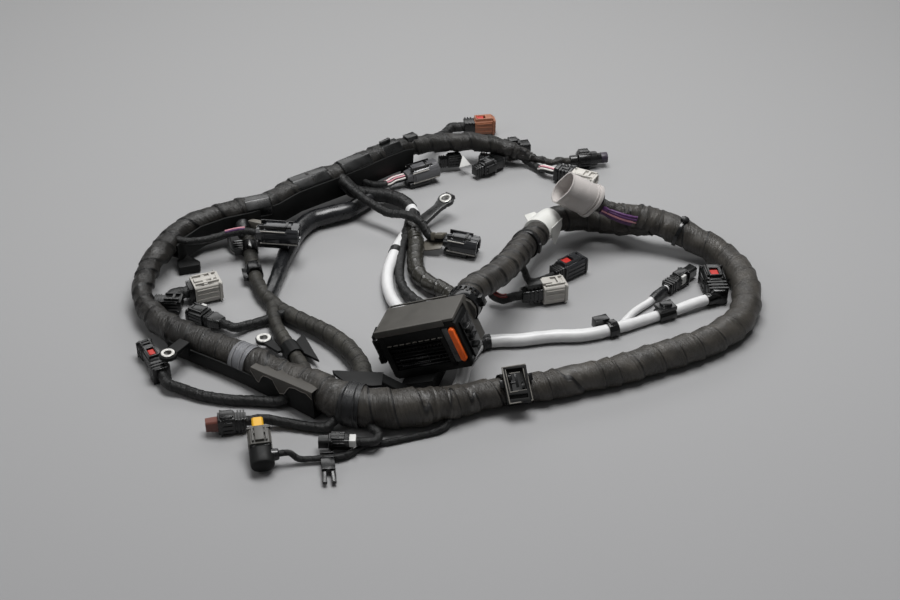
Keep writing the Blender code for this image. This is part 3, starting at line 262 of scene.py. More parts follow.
# PBT mouldings in the plugs' greys
COVER_PBT = moulded("PBT, charcoal moulded", "413f3b", 0.55, 0.7, 0.1)
SHELL_PBT = moulded("PBT, mid grey moulded", "b5b0ad", 0.24, 1.5, 0.05)
PALE_PBT = moulded("PBT, pale grey moulded", "b7b4ae", 0.45, 1.0, 0.06)
LIGHT_PBT = moulded("PBT, light grey moulded", "a5a29c", 0.45, 1.0, 0.06)
STONE_PBT = moulded("PBT, stone grey moulded", "6c6963", 0.5, 1.0, 0.1)
SLATE_PBT = moulded("PBT, slate grey moulded", "474748", 0.28, 1.2, 0.1)
SMOKE_PBT = moulded("PBT, polished smoke grey", "27282a", 0.1, 2.0, 0.08)
ASH_PBT = moulded("PBT, polished ash grey", "58585a", 0.12, 2.0, 0.08)
BROWN_PBT = moulded("PBT, brown moulded", "5e3329", 0.42, 1.0, 0.1)
TAWNY_PBT = moulded("PBT, tawny moulded", "8f5a40", 0.42, 1.0, 0.1)
RED_PBT = moulded("PBT, red lock moulded", "a8231b", 0.38, 1.2, 0.08)
VIOLET_PBT = moulded("PBT, violet black moulded", "2c2532", 0.45, 1.2, 0.08)
OLIVE_PBT = moulded("PBT, olive grey moulded", "4d4940", 0.4, 1.0, 0.1)
YELLOW_PBT = moulded("PBT, yellow moulded", "c9991f", 0.45, 1.2, 0.08)
# Liquid silicone seals
ORANGE_SILICONE = moulded("silicone seal, orange", "f4661c", 0.5, 1.0, 0.08)
RUST_SILICONE = moulded("silicone seal, rust", "6a2f26", 0.5, 1.0, 0.1)
# Tin-plated steel of terminals and eyelets
PLATED = metal("steel, tin plated", "c4c3bf", 0.3)
TERMINAL = metal("brass terminal, tin plated", "8f8d88", 0.35)
# Coated paper label, and the white cloth tape flags
LABEL = moulded("label paper, coated", "c2c2be", 0.55, 0.6, 0.04)
WHITE_TAPE = moulded("cloth tape, white", "bdbdba", 0.6, 0.6, 0.08)
# PVC wire insulation
PINK_WIRE = moulded("PVC insulation, pink", "c98a95", 0.4, 1.0, 0.05)
WHITE_WIRE = moulded("PVC insulation, white", "cfccc8", 0.4, 1.0, 0.05)
PURPLE_WIRE = moulded("PVC insulation, purple", "4b2456", 0.4, 1.0, 0.05)
RED_WIRE = moulded("PVC insulation, dark red", "6f2220", 0.4, 1.0, 0.05)
BLACK_WIRE = moulded("PVC insulation, black", "151517", 0.35, 1.0, 0.05)


def spin(degrees, axis):
    """Matrix that turns round an axis."""
    return Matrix.Rotation(math.radians(degrees), 4, axis)


def stand(at, yaw=0.0, pitch=0.0, roll=0.0):
    """Placing matrix with +X along the heading `yaw` raised by `pitch`; position in millimetres."""
    return Matrix.Translation(at) @ spin(yaw, "Z") @ spin(-pitch, "Y") @ spin(roll, "X")


# Plug places: cable entry, heading and climb
UNIT = stand((-45.0, -169.0, 2.5), -107.0, 0.0, 23.5)
OVAL = stand((152.0, 60.0, 56.0), -171.0, 31.5, -22.0)
BROWN = stand((21.0, 304.0, 11.0), 8.0)
TABBED = stand((66.8, 249.2, 11.0), 14.0)
ROUND = stand((141.0, 225.0, 10.5), 10.0)
SPARE = stand((124.0, 200.0, 10.0), -27.0)
CLUSTER = stand((36.5, 204.4, 10.0), 39.0)
SHINY_MIDDLE = stand((-45.0, 184.0, 13.0), 27.0, 3.0)
SHINY_RIGHT = stand((-1.0, 52.0, 14.0), -16.0, -3.0)
SHINY_LEFT = stand((-194.0, 36.0, 34.0), -4.0, -2.0)
LEFT_GREY = stand((-256.0, -40.0, 12.0), 23.0)
TAPED = stand((-216.0, -89.0, 9.0), 150.0)
LEFT_LOOP = stand((-261.0, -171.0, 9.0), 119.0)
BROWN_TIP = stand((-176.0, -238.0, 10.0), -170.0)
YELLOW_TOP = stand((-156.0, -294.0, 11.0), 101.0, 13.5)
YELLOW_ENTRY = YELLOW_TOP @ Matrix.Translation((6.0, -8.0, 0.0)) @ spin(90.0, "Z")
SMALL_DARK = stand((-79.0, -267.0, 10.5), 180.0)
LIGHT_GREY = stand((75.0, -46.0, 12.0), 16.0)
RED_LOCKED = stand((109.0, -7.0, 10.0), 39.0)
THIN_END = stand((221.0, -28.0, 8.0), 47.0)
BOOT = stand((271.0, -48.0, 10.0), 94.0)
ELBOW_REACH = 14.0
BOOT_ELBOW = BOOT @ Matrix.Translation((6.0, 0.0, -2.0)) @ spin(-68.0, "Z")
BOOT_ENTRY = BOOT_ELBOW @ Matrix.Translation((-ELBOW_REACH, 0.0, 0.0))
EYELET = stand((-256.0, -160.0, 24.0))
BACK_EYELET = stand((0.0, 119.0, 22.0), -130.0, -15.0)
UPRIGHT = spin(90.0, "Y")


def settle(name, build, finishes, body=BODY, smooth=45.0):
    """Mesh object in the row's frame from a finished bmesh, nowhere below the floor, riding on its body."""
    for corner in build.verts:
        corner.co.z = max(corner.co.z, 0.0)
    mesh = bpy.data.meshes.new(name)
    build.to_mesh(mesh)
    build.free()
    for finish in finishes:
        mesh.materials.append(finish)
    mesh.shade_smooth()
    mesh.set_sharp_from_angle(angle=math.radians(smooth))
    obj = bpy.data.objects.new(name, mesh)
    bpy.context.scene.collection.objects.link(obj)
    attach(obj, body)
    return obj


def rounded(build, width):
    """Round every edge of a bmesh that turns sharply."""
    build.normal_update()
    sharp = [e for e in build.edges
             if len(e.link_faces) == 2 and e.calc_face_angle(0.0) > math.radians(SHARP_TURN)]
    bmesh.ops.bevel(build, geom=sharp, offset=width, segments=2, profile=0.6, affect="EDGES",
                    clamp_overlap=False)


def softened(node, finish, place=None, zones=(), edge=0.45, body=BODY):
    """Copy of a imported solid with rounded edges; zones recolour its stretches along the plug's axis."""
    build = bmesh.new()
    build.from_mesh(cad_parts[node].data)
    bmesh.ops.remove_doubles(build, verts=build.verts, dist=0.02 * MM)
    rounded(build, edge * MM)
    finishes = [finish] + [zone[2] for zone in zones]
    if zones:
        local = (HOME @ place).inverted()
        for face in build.faces:
            x = (local @ face.calc_center_median()).x
            for i, (start, end, _) in enumerate(zones):
                if start <= x < end:
                    face.material_index = i + 1
    obj = settle(node + "_moulding", build, finishes, body)
    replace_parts(obj, node)


def box(x0, x1, y0, y1, z0, z1):
    """Points and faces of a block."""
    points = [(x, y, z) for x in (x0, x1) for y in (y0, y1) for z in (z0, z1)]
    faces = [(0, 1, 3, 2), (4, 6, 7, 5), (0, 4, 5, 1), (2, 3, 7, 6), (0, 2, 6, 4), (1, 5, 7, 3)]
    return points, faces


def skin(rows, count):
    """Faces between rows of `count` points each, closed at both ends."""
    faces = []
    for row in range(rows - 1):
        a, b = row * count, (row + 1) * count
        faces += [(a + k, a + (k + 1) % count, b + (k + 1) % count, b + k) for k in range(count)]
    last = (rows - 1) * count
    return faces + [tuple(range(count)), tuple(range(last, last + count))]


def turned(profile, y=0.0, z=0.0, sides=32, spread=0.0):
    """Points and faces of a solid turned round X through (x, diameter) stations; spread draws it out in Z."""
    points = []
    for x, d in profile:
        for k in range(sides):
            t = 2 * math.pi * (k + 0.5) / sides
            rise = math.copysign(spread / 2, math.sin(t))
            points.append((x, y + d / 2 * math.cos(t), z + d / 2 * math.sin(t) + rise))
    return points, skin(len(profile), sides)


def hoop(x0, x1, outer, inner, y=0.0, z=0.0, sides=40, spread=0.0):
    """Points and faces of a ring round X."""
    profile = [(x0, inner), (x0, outer), (x1, outer), (x1, inner)]
    points, faces = turned(profile, y, z, sides, spread)
    faces = faces[:-2]
    last = 3 * sides
    faces += [(last + k, last + (k + 1) % sides, (k + 1) % sides, k) for k in range(sides)]
    return points, faces


def plate(outline, z0, z1):
    """Points and faces of a plate of an (x, y) outline between two heights."""
    count = len(outline)
    points = [(x, y, z0) for x, y in outline] + [(x, y, z1) for x, y in outline]
    return points, skin(2, count)


def piece(name, place, shapes, finish, edge=0.3, nodes=()):
    """One object of several shapes in a place's own millimetres, edges rounded."""
    build = bmesh.new()
    for points, faces in shapes:
        corners = [build.verts.new(p) for p in points]
        for face in faces:
            build.faces.new([corners[i] for i in face])
    bmesh.ops.recalc_face_normals(build, faces=build.faces)
    if edge:
        rounded(build, edge)
    bmesh.ops.transform(build, matrix=HOME @ place, verts=build.verts)
    obj = settle(name, build, [finish])
    if nodes:
        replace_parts(obj, *nodes)


# Repeats: one tree for rows of bars on a grid, one for bars round a ring, one for rings on a path
def tree_of(name, inputs):
    """Empty geometry tree with named inputs."""
    tree = bpy.data.node_groups.new(name, "GeometryNodeTree")
    tree.interface.new_socket("Geometry", in_out="INPUT", socket_type="NodeSocketGeometry")
    for label, kind in inputs.items():
        tree.interface.new_socket(label, in_out="INPUT", socket_type="NodeSocket" + kind)
    tree.interface.new_socket("Geometry", in_out="OUTPUT", socket_type="NodeSocketGeometry")
    return tree, add(tree, "NodeGroupInput").outputs


def close_tree(tree, given, points, shape, **turns):
    """Last nodes of every tree: the shape on each of the points, made real, with its finish."""
    made = add(tree, "GeometryNodeInstanceOnPoints", {}, {"Points": points, "Instance": shape, **turns})
    real = add(tree, "GeometryNodeRealizeInstances", {}, {"Geometry": made.outputs["Instances"]})
    painted = add(tree, "GeometryNodeSetMaterial", {},
                  {"Geometry": real.outputs["Geometry"], "Material": given["Finish"]})
    add(tree, "NodeGroupOutput", {}, {"Geometry": painted.outputs["Geometry"]})
    return tree


def rows_tree():
    """Bars on a grid of columns and rows."""
    tree, given = tree_of("rows of bars", {"Columns": "Int", "Rows": "Int", "Column Step": "Float",
                                           "Row Step": "Float", "Bar": "Vector", "Finish": "Material"})
    spans = []
    for count, step in (("Columns", "Column Step"), ("Rows", "Row Step")):
        spans.append(maths(tree, "MULTIPLY", maths(tree, "SUBTRACT", given[count], 1.0), given[step]))
    grid = add(tree, "GeometryNodeMeshGrid", {},
               {"Size X": spans[0], "Size Y": spans[1], "Vertices X": given["Columns"],
                "Vertices Y": given["Rows"]})
    bar = add(tree, "GeometryNodeMeshCube", {}, {"Size": given["Bar"]})
    return close_tree(tree, given, grid.outputs["Mesh"], bar.outputs["Mesh"])


def ring_tree():
    """Bars standing round a circle."""
    tree, given = tree_of("bars round a ring",
                          {"Count": "Int", "Radius": "Float", "Bar": "Vector", "Finish": "Material"})
    circle = add(tree, "GeometryNodeMeshCircle", {},
                 {"Vertices": given["Count"], "Radius": given["Radius"]})
    bar = add(tree, "GeometryNodeMeshCube", {}, {"Size": given["Bar"]})
    place = add(tree, "GeometryNodeInputPosition")
    facing = add(tree, "FunctionNodeAlignRotationToVector", {"axis": "X"},
                 {"Vector": place.outputs["Position"]})
    return close_tree(tree, given, circle.outputs["Mesh"], bar.outputs["Mesh"],
                      Rotation=facing.outputs["Rotation"])


def path_tree():
    """Rings threaded on a path, sized by the path's radius."""
    tree, given = tree_of("rings on a path", {"Step": "Float", "Thickness": "Float", "Finish": "Material"})
    marks = add(tree, "GeometryNodeResampleCurve", {"mode": "LENGTH"},
                {"Curve": given["Geometry"], "Length": given["Step"]})
    loop = add(tree, "GeometryNodeCurvePrimitiveCircle", {"Resolution": 28, "Radius": 1.0})
    wire = add(tree, "GeometryNodeCurvePrimitiveCircle", {"Resolution": 8}, {"Radius": given["Thickness"]})
    ring = add(tree, "GeometryNodeCurveToMesh", {},
               {"Curve": loop.outputs["Curve"], "Profile Curve": wire.outputs["Curve"]})
    tangent = add(tree, "GeometryNodeInputTangent")
    facing = add(tree, "FunctionNodeAlignRotationToVector", {"axis": "Z"},
                 {"Vector": tangent.outputs["Tangent"]})
    size = add(tree, "GeometryNodeInputRadius")
    return close_tree(tree, given, marks.outputs["Curve"], ring.outputs["Mesh"],
                      Rotation=facing.outputs["Rotation"], Scale=size.outputs["Radius"])


ROWS = rows_tree()
RING = ring_tree()
ON_PATH = path_tree()


def grown(name, tree, values, place=None, path=None):
    """Plain mesh from a geometry tree, moved from its own millimetres to the row's frame."""
    if path:
        data = bpy.data.curves.new(name + "_path", "CURVE")
        data.dimensions = "3D"
        spline = data.splines.new("POLY")
        spline.points.add(len(path) - 1)
        for knot, point in zip(spline.points, path):
            knot.co = (*point.xyz, 1.0)
            knot.radius = point.w / 2
    else:
        data = bpy.data.meshes.new(name + "_seed")
    source = bpy.data.objects.new(name + "_source", data)
    bpy.context.scene.collection.objects.link(source)
    modifier = source.modifiers.new("repeat", "NODES")
    modifier.node_group = tree
    for item in tree.interface.items_tree:
        if item.in_out == "INPUT" and item.name in values:
            modifier[item.identifier] = values[item.name]
    bpy.context.view_layer.update()
    graph = bpy.context.evaluated_depsgraph_get()
    mesh = bpy.data.meshes.new_from_object(source.evaluated_get(graph))
    bpy.data.objects.remove(source)
    mesh.transform(HOME @ (place or Matrix.Identity(4)))
    mesh.shade_smooth()
    mesh.set_sharp_from_angle(angle=math.radians(SMOOTH_TURN))
    obj = bpy.data.objects.new(name, mesh)
    bpy.context.scene.collection.objects.link(obj)
    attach(obj, BODY)


def at(place, x=0.0, y=0.0, z=0.0):
    """The place moved by an offset along its own axes."""
    return place @ Matrix.Translation((x, y, z))


def smooth_route(route, step):
    """Evenly spaced (x, y, z, diameter) points on a smooth curve through the route points."""
    knots = [Vector(p) for p in route]
    times = [0.0]
    for a, b in zip(knots, knots[1:]):
        times.append(times[-1] + (b - a).xyz.length)
    slopes = []
    for i in range(len(knots)):
        lo, hi = max(i - 1, 0), min(i + 1, len(knots) - 1)
        slopes.append((knots[hi] - knots[lo]) / (times[hi] - times[lo]))
    dense = []
    for i in range(len(knots) - 1):
        span = times[i + 1] - times[i]
        pieces = max(2, math.ceil(span / FINE_STEP))
        for k in range(pieces):
            t = k / pieces
            near = 2 * t ** 3 - 3 * t ** 2 + 1
            far = 3 * t ** 2 - 2 * t ** 3
            leaving = (t ** 3 - 2 * t ** 2 + t) * span
            arriving = (t ** 3 - t ** 2) * span
            kept = knots[i] * near + slopes[i] * leaving
            dense.append(kept + knots[i + 1] * far + slopes[i + 1] * arriving)
    dense.append(knots[-1])
    for point in dense:
        point.z = max(point.z, point.w / 2)
    return resample(dense, step)


def resample(points, step):
    """Points at an even spacing close to `step` along a dense line."""
    lengths = [0.0]
    for a, b in zip(points, points[1:]):
        lengths.append(lengths[-1] + (b - a).xyz.length)
    count = max(2, round(lengths[-1] / step) + 1)
    result = []
    row = 0
    for i in range(count):
        target = lengths[-1] * i / (count - 1)
        while row < len(points) - 2 and lengths[row + 1] < target:
            row += 1
        share = (target - lengths[row]) / max(lengths[row + 1] - lengths[row], 1e-9)
        result.append(points[row].lerp(points[row + 1], min(max(share, 0.0), 1.0)))
    return result


def line_length(points):
    """Length of a line of points."""
    return sum((b - a).xyz.length for a, b in zip(points, points[1:]))


def rails(points):
    """Side and up vectors carried along a line without twist."""
    result = []
    up = Vector((0.0, 0.0, 1.0))
    for i in range(len(points)):
        lo, hi = max(i - 1, 0), min(i + 1, len(points) - 1)
        ahead = (points[hi] - points[lo]).xyz.normalized()
        if abs(ahead.dot(up)) > 0.98:
            up = Vector((1.0, 0.0, 0.0))
        up = (up - ahead * ahead.dot(up)).normalized()
        result.append((ahead.cross(up), up))
    return result


def wound(name, line, finish, pitch=0.0, rise=0.0, lump=0.0, sides=20):
    """Mesh tube round a line, with raised tape turns and lumps; its UVs count the turns of the winding."""
    build = bmesh.new()
    layer = build.loops.layers.uv.new("winding")
    frames = rails(line)
    step = line_length(line) / (len(line) - 1)
    rows = []
    for i, (point, (side, up)) in enumerate(zip(line, frames)):
        drift = 0.6 * noise.noise(Vector((i * step / 60.0, point.w, 3.0)))
        base = i * step / (pitch or 20.0) + drift
        row = []
        for k in range(sides):
            share = k / sides
            angle = 2 * math.pi * share - math.pi / 2
            out = side * math.cos(angle) + up * math.sin(angle)
            radius = point.w / 2
            if pitch:
                turn = (base + share) % 1.0
                radius += rise * (min(turn / 0.07, 1.0) * (1.0 - turn) - 0.35)
            if lump:
                spot = (point.xyz + out * radius) / (0.9 * point.w)
                radius += lump * noise.noise(spot) + 0.4 * lump * noise.noise(spot * 2.7)
            row.append(build.verts.new(point.xyz + out * radius))
        rows.append((base, row))
    for (base, row), (base_next, following) in zip(rows, rows[1:]):
        for k in range(sides):
            after = (k + 1) % sides
            face = build.faces.new((row[k], row[after], following[after], following[k]))
            corners = ((base + k / sides, k / sides), (base + (k + 1) / sides, (k + 1) / sides),
                       (base_next + (k + 1) / sides, (k + 1) / sides), (base_next + k / sides, k / sides))
            for loop, uv in zip(face.loops, corners):
                loop[layer].uv = uv
    build.faces.new(rows[0][1])
    build.faces.new(rows[-1][1])
    bmesh.ops.recalc_face_normals(build, faces=build.faces)
    bmesh.ops.transform(build, matrix=HOME, verts=build.verts)
    return settle(name, build, [finish], smooth=60.0)


LINES = {}


def lay(name, node, route, finish, diameter, far_end="object", pieces=(), **winding):
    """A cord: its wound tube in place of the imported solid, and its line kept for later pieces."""
    line = smooth_route(route, ROW_STEP)
    LINES[name] = line
    obj = wound(name, line, finish, **winding)
    if node:
        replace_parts(obj, node)


def tail_points(matrix, diameter, reach=TAIL):
    """Last route points of a cord that runs square into the back of a plug."""
    return [(*matrix @ Vector((-x, 0.0, 0.0)), diameter) for x in (reach, STRAIGHT, -ENTRY)]


def stretch_of(name, start, end):
    """Part of a cord's line between the points nearest to two places."""
    line = LINES[name]
    rows = [min(range(len(line)), key=lambda i: (line[i].xyz - Vector(spot)).length)
            for spot in (start, end)]
    return line[min(rows):max(rows) + 1]


def on_line(name, near):
    """Frame on a cord's centreline at the point nearest to a place, and the radius there."""
    line = LINES[name]
    row = min(range(1, len(line) - 1), key=lambda i: (line[i].xyz - Vector(near)).length)
    ahead = (line[row + 1] - line[row - 1]).xyz
    yaw = math.degrees(math.atan2(ahead.y, ahead.x))
    pitch = math.degrees(math.atan2(ahead.z, math.hypot(ahead.x, ahead.y)))
    return stand(line[row].xyz, yaw, pitch), line[row].w / 2


def band(name, cord_name, start, end, finish, proud=0.5, **winding):
    """Short band of tape over a cord between two places on it."""
    stretch = [point.copy() for point in stretch_of(cord_name, start, end)]
    for point in stretch:
        point.w += 2 * proud
    return wound(name, stretch, finish, **{"pitch": 9.0, "rise": 0.25, "sides": 24, **winding})


def bars(name, columns, rows, steps, bar, finish, place):
    """Bars on a grid with steps along its two directions."""
    grown(name, ROWS, {"Columns": columns, "Rows": rows, "Column Step": steps[0], "Row Step": steps[1],
                       "Bar": bar, "Finish": finish}, place)


# Control unit plug
softened("ecu_housing", MATT_NYLON, edge=0.6)
softened("ecu_cover", COVER_PBT, edge=0.6)
softened("ecu_seal", ORANGE_SILICONE, edge=0.5)
softened("ecu_bracket", MATT_NYLON, edge=0.5)
piece("ecu_cover_frame", UNIT, [
    box(-1.5, 1.2, -0.5, 71.0, UNIT_HEIGHT - 3.0, UNIT_HEIGHT + 3.6),
], COVER_PBT)
piece("ecu_front_band", UNIT, [
    box(-2.0, 0.9, 2.0, 66.0, 36.6, 46.5), box(-2.0, 1.2, 2.0, 66.0, 4.0, 9.0),
    box(-2.0, 1.2, 1.0, 7.0, 4.0, 46.5), box(-2.0, 1.2, 62.0, 66.5, 4.0, 46.5),
], MATT_NYLON)
bars("ecu_front_slots", 1, 7, (1.0, 3.9), (53.0, 1.1, 1.4), GLOSS_NYLON,
     at(UNIT, 0.0, 35.0, 22.5) @ spin(90, "Z") @ spin(90, "X"))
# painted highlights: pale dashes along the front's top rib
bars("ecu_top_highlight_dashes", 9, 1, (6.6, 1.0), (4.4, 1.0, 0.7), STONE_PBT,
     at(UNIT, 1.3, 36.0, 36.4) @ spin(90, "Z"))
bars("ecu_dots", 16, 2, (1.9, 6.4), (0.9, 0.9, 0.5), SLATE_PBT,
     at(UNIT, 1.0, 28.0, 16.5) @ spin(90, "Z") @ spin(90, "X"))
piece("ecu_side_plate", UNIT, [box(-25.0, 0.6, 66.6, 72.4, 8.0, 44.0),
                               box(-22.0, -2.0, 66.0, UNIT_WIDTH + 0.5, 6.0, 8.0)], SLATE_PBT)
piece("ecu_left_wing", UNIT, [box(-9.0, 0.5, -5.5, 0.4, 24.0, 45.0),
                              box(-30.0, -8.0, -3.0, 0.4, 32.0, 46.0),
                              box(-3.0, 1.6, -6.5, -1.0, 20.0, 27.0)], GLOSS_NYLON)
piece("ecu_cover_rails", UNIT, [
    box(-COVER_DEPTH + 3.0, -4.0, 1.5, 3.0, UNIT_HEIGHT + 2.6, UNIT_HEIGHT + 4.0),
    box(-COVER_DEPTH + 1.0, -COVER_DEPTH + 2.6, 2.0, 62.0, UNIT_HEIGHT + 2.6, UNIT_HEIGHT + 4.0),
], COVER_PBT)
for row, height in enumerate((13.6, 19.6, 25.6, 31.6)):
    bars(f"ecu_contacts_{row + 1}", 16, 1, (3.6, 1.0), (1.0, 1.6, 1.0), TERMINAL,
         at(UNIT, -5.6, 37.0, height) @ spin(90, "Z"))
grown("ecu_clamp_teeth", RING, {"Count": 22, "Radius": SPIGOT_RADIUS + 0.6, "Bar": (2.4, 2.2, 7.0),
                                "Finish": GLOSS_NYLON},
      at(UNIT, -COVER_DEPTH - 7.5, SPIGOT_Y, SPIGOT_Z) @ UPRIGHT)
piece("ecu_clamp", UNIT, [
    hoop(-COVER_DEPTH - 12.0, -COVER_DEPTH - 9.4, 33.0, 29.0, SPIGOT_Y, SPIGOT_Z),
    hoop(-COVER_DEPTH - 5.4, -COVER_DEPTH + 5.0, 32.6, 29.0, SPIGOT_Y, SPIGOT_Z),
    box(-COVER_DEPTH - 9.0, -COVER_DEPTH - 2.0, SPIGOT_Y + 12.0, SPIGOT_Y + 20.0, SPIGOT_Z - 5.0,
        SPIGOT_Z + 5.0),
], GLOSS_NYLON)
piece("ecu_side_latches", UNIT, [
    box(-26.0, -6.0, UNIT_WIDTH - 0.5, UNIT_WIDTH + 2.5, 6.0, 44.0),
    box(-14.0, -4.0, UNIT_WIDTH + 2.0, UNIT_WIDTH + 8.0, 36.5, 38.5),
    box(-20.0, -8.0, UNIT_WIDTH + 2.0, UNIT_WIDTH + 6.0, 22.0, 24.5),
], GLOSS_NYLON)

# Oval shell, the rust seal inside it and the boot at its back
OVAL_SPREAD = 12.0
piece("oval_shell_round", OVAL, [
    hoop(0.0, 3.6, 29.0, 22.6, sides=64, spread=OVAL_SPREAD),
    hoop(3.4, 38.0, 26.4, 24.0, sides=64, spread=OVAL_SPREAD),
    hoop(5.6, 6.8, 27.6, 24.4, sides=64, spread=OVAL_SPREAD),
    hoop(37.0, 38.6, 27.3, 23.8, sides=64, spread=OVAL_SPREAD),
], SHELL_PBT, nodes=["oval_shell"])
piece("oval_shell_floor", OVAL, [turned([(2.0, 24.2), (9.0, 24.2)], sides=48, spread=OVAL_SPREAD)],
      RUST_SILICONE)
piece("oval_shell_boot", OVAL, [turned([(-5.0, 17.0), (0.4, 22.0)], sides=40, spread=11.0)], NYLON)

# Moulded channels, guard and clips
for node in ("trough_rail", "protector_channel", "leg_guard"):
    softened(node, MATT_NYLON, edge=0.5)
softened("frame_clip", MATT_NYLON, edge=0.4)
for node in ("twin_clip", "block_clip", "fork_clip"):
    softened(node, GLOSS_NYLON, edge=0.4)
softened("back_eyelet_bracket", NYLON, edge=0.5)
for node, place, outer, bore, length in (("left_eyelet_ring", EYELET, 13.0, 7.0, 6.0),
                                         ("back_eyelet_ring", BACK_EYELET, 13.0, 8.5, 7.0)):
    piece(node + "_sleeve", place @ UPRIGHT, [hoop(-length / 2, length / 2, outer, bore)], PLATED,
          nodes=[node])

# Plugs
softened("brown_connector", TAWNY_PBT, BROWN, [(-5.0, 12.2, NYLON)])
softened("tab_connector", NYLON)
softened("round_connector", NYLON)
softened("spare_connector", PALE_PBT, SPARE, [(-5.0, 19.1, GLOSS_NYLON)])
softened("cluster_connector", NYLON)
softened("shiny_middle", ASH_PBT, SHINY_MIDDLE)
softened("shiny_right", SMOKE_PBT, SHINY_RIGHT)
softened("shiny_left", SMOKE_PBT, SHINY_LEFT)
softened("left_grey_connector", LIGHT_PBT, LEFT_GREY, [(-5.0, 5.1, NYLON)])
softened("taped_cluster_connector", NYLON)
softened("left_loop_connector", NYLON)
softened("brown_tip_connector", NYLON, BROWN_TIP, [(25.1, 60.0, BROWN_PBT)])
softened("yellow_top_connector", COVER_PBT, YELLOW_TOP,
         [(-10.0, 13.5, MATT_NYLON), (33.1, 60.0, YELLOW_PBT)])
softened("small_dark_connector", NYLON)
softened("light_grey_connector", LIGHT_PBT, LIGHT_GREY, [(-5.0, 20.9, NYLON)])
softened("red_lock_connector", SMOKE_PBT, RED_LOCKED, [(-5.0, 10.0, NYLON)])
softened("thin_sleeve_connector", NYLON)
softened("boot_connector", NYLON)
for lock in ("brown_lock", "left_loop_lock", "red_lock", "boot_lock"):
    softened(lock, RED_PBT, edge=0.25, body=lock)

# Cords
TRUNK_ROUTE = tail_points(OVAL, 15.0)[::-1] + [
    (183, 60, 42, 20), (202, 61, 37, 24), (231, 54, 29, 28), (258, 42, 21, 28), (274, 32, 17, 28),
    (288, 16, 14, 28), (297, -11, 14, 28), (299, -43, 14, 28), (293, -71, 14, 28), (280, -97, 14, 28),
    (259, -117, 14, 28), (235, -133, 14, 28), (196, -152, 14, 28), (157, -171, 14, 28),
    (114, -185, 14, 27), (91, -193, 14, 26), (62, -198, 14, 26), (32, -209, 15, 27), (4, -219, 16, 30),
    (-22, -228, 18, 34), (-53, -230, 18, 35), (-85, -224, 18, 36), (-115, -204, 18, 33),
    (-151, -180, 16, 30), (-190, -154, 16, 28), (-221, -135, 16, 28), (-252, -116, 16, 28),
    (-276, -95, 17, 25), (-293, -68, 18, 20), (-299, -48, 20, 19), (-299, -27, 22, 20),
    (-295, -4, 24, 22), (-286, 22, 27, 23), (-271, 48, 30, 23), (-247, 65, 33, 23), (-219, 76, 35, 23),
    (-191, 88, 35, 23), (-167, 115, 36, 23), (-126, 145, 37, 23), (-102, 164, 37, 23), (-68, 195, 37, 22),
    (-42, 215, 35, 21), (9, 233, 30, 20), (34, 239, 27, 20), (68, 234, 22, 18), (84, 231, 17, 14),
    (101, 228, 12, 8), (118, 224, 9, 7),
] + tail_points(ROUND, 7.0)
BRANCH = {"pitch": 13.0, "rise": 0.8, "lump": 0.6, "sides": 24}
THIN_BRANCH = {"pitch": 9.0, "rise": 0.5, "lump": 0.35, "sides": 16}

lay("trunk", "main_trunk", TRUNK_ROUTE, TRUNK_TAPE, 30.0, "connector", ["round_connector_moulding"],
    pitch=23.0, rise=2.0, lump=1.5, sides=44)

UNIT_START = at(UNIT, -COVER_DEPTH - SPIGOT_LENGTH, SPIGOT_Y, SPIGOT_Z)
SLEEVE_A_END = at(UNIT, -COVER_DEPTH, 16.0, 24.0)
CONVOLUTED_END = at(UNIT, -COVER_DEPTH, 46.0, 20.0)
lay("unit_trunk", "ecu_trunk", tail_points(UNIT_START, 26.0)[::-1] + [
    (49, -84, 62, 26), (63, -50, 54, 26), (76, -12, 45, 26), (88, 18, 39, 26), (99, 43, 35, 26),
    (112, 64, 31, 26), (131, 78, 25, 26), (153, 84, 20, 26), (176, 81, 18, 25), (196, 70, 22, 24),
    (215, 58, 30, 22),
], TRUNK_TAPE, 26.0, pitch=20.0, rise=1.8, lump=1.3, sides=44)

lay("middle_branch_run", "middle_branch", [
    (-215, 79, 34, 13), (-212, 60, 22, 13), (-206, 52, 14, 13), (-203, 38, 8, 14), (-198, 14, 7, 14),
    (-191, -13, 7, 14), (-181, -38, 8, 15), (-164, -62, 8, 15), (-143, -82, 9, 16), (-120, -100, 9, 17),
    (-99, -121, 9, 18), (-83, -146, 9, 18), (-76, -168, 9, 18), (-77, -190, 9, 18), (-79, -208, 9, 18),
    (-80, -224, 10, 18),
], OLIVE_TAPE, 18.0, **BRANCH)
lay("second_leg_run", "second_leg", [
    (-170, -60, 10, 13), (-165, -86, 7, 13), (-149, -123, 7, 13), (-135, -152, 8, 13), (-124, -183, 15, 13),
    (-117, -204, 18, 13),
], OLIVE_TAPE, 13.0, **BRANCH)
lay("sleeve_a_cable_run", "sleeve_a_cable", [
    (-122, 150, 37, 14), (-112, 141, 33, 14), (-100, 138, 22, 14), (-83, 143, 15, 14), (-61, 143, 12, 14),
    (-46, 135, 10, 14), (-36, 118, 8, 13), (-35, 99, 7, 13), (-41, 79, 7, 12), (-49, 54, 7, 12),
    (-55, 27, 7, 12), (-59, 1, 7, 12), (-58, -24, 7, 12), (-54, -45, 9, 12), (-48, -64, 12, 12),
    (-38, -90, 18, 12),
] + tail_points(SLEEVE_A_END, 12.0), SLEEVE, 12.0, lump=0.3, sides=24)
lay("hose_run", "hose", [
    (-83, 139, 12, 15), (-94, 126, 12, 17), (-107, 114, 12, 19), (-125, 106, 11.5, 20), (-143, 96, 11, 20),
    (-156, 74, 11, 20), (-163, 41, 11, 18), (-168, 13, 9, 16), (-172, -17, 8, 14), (-176, -44, 8, 14),
], HOSE, 14.0, lump=0.4, sides=28)
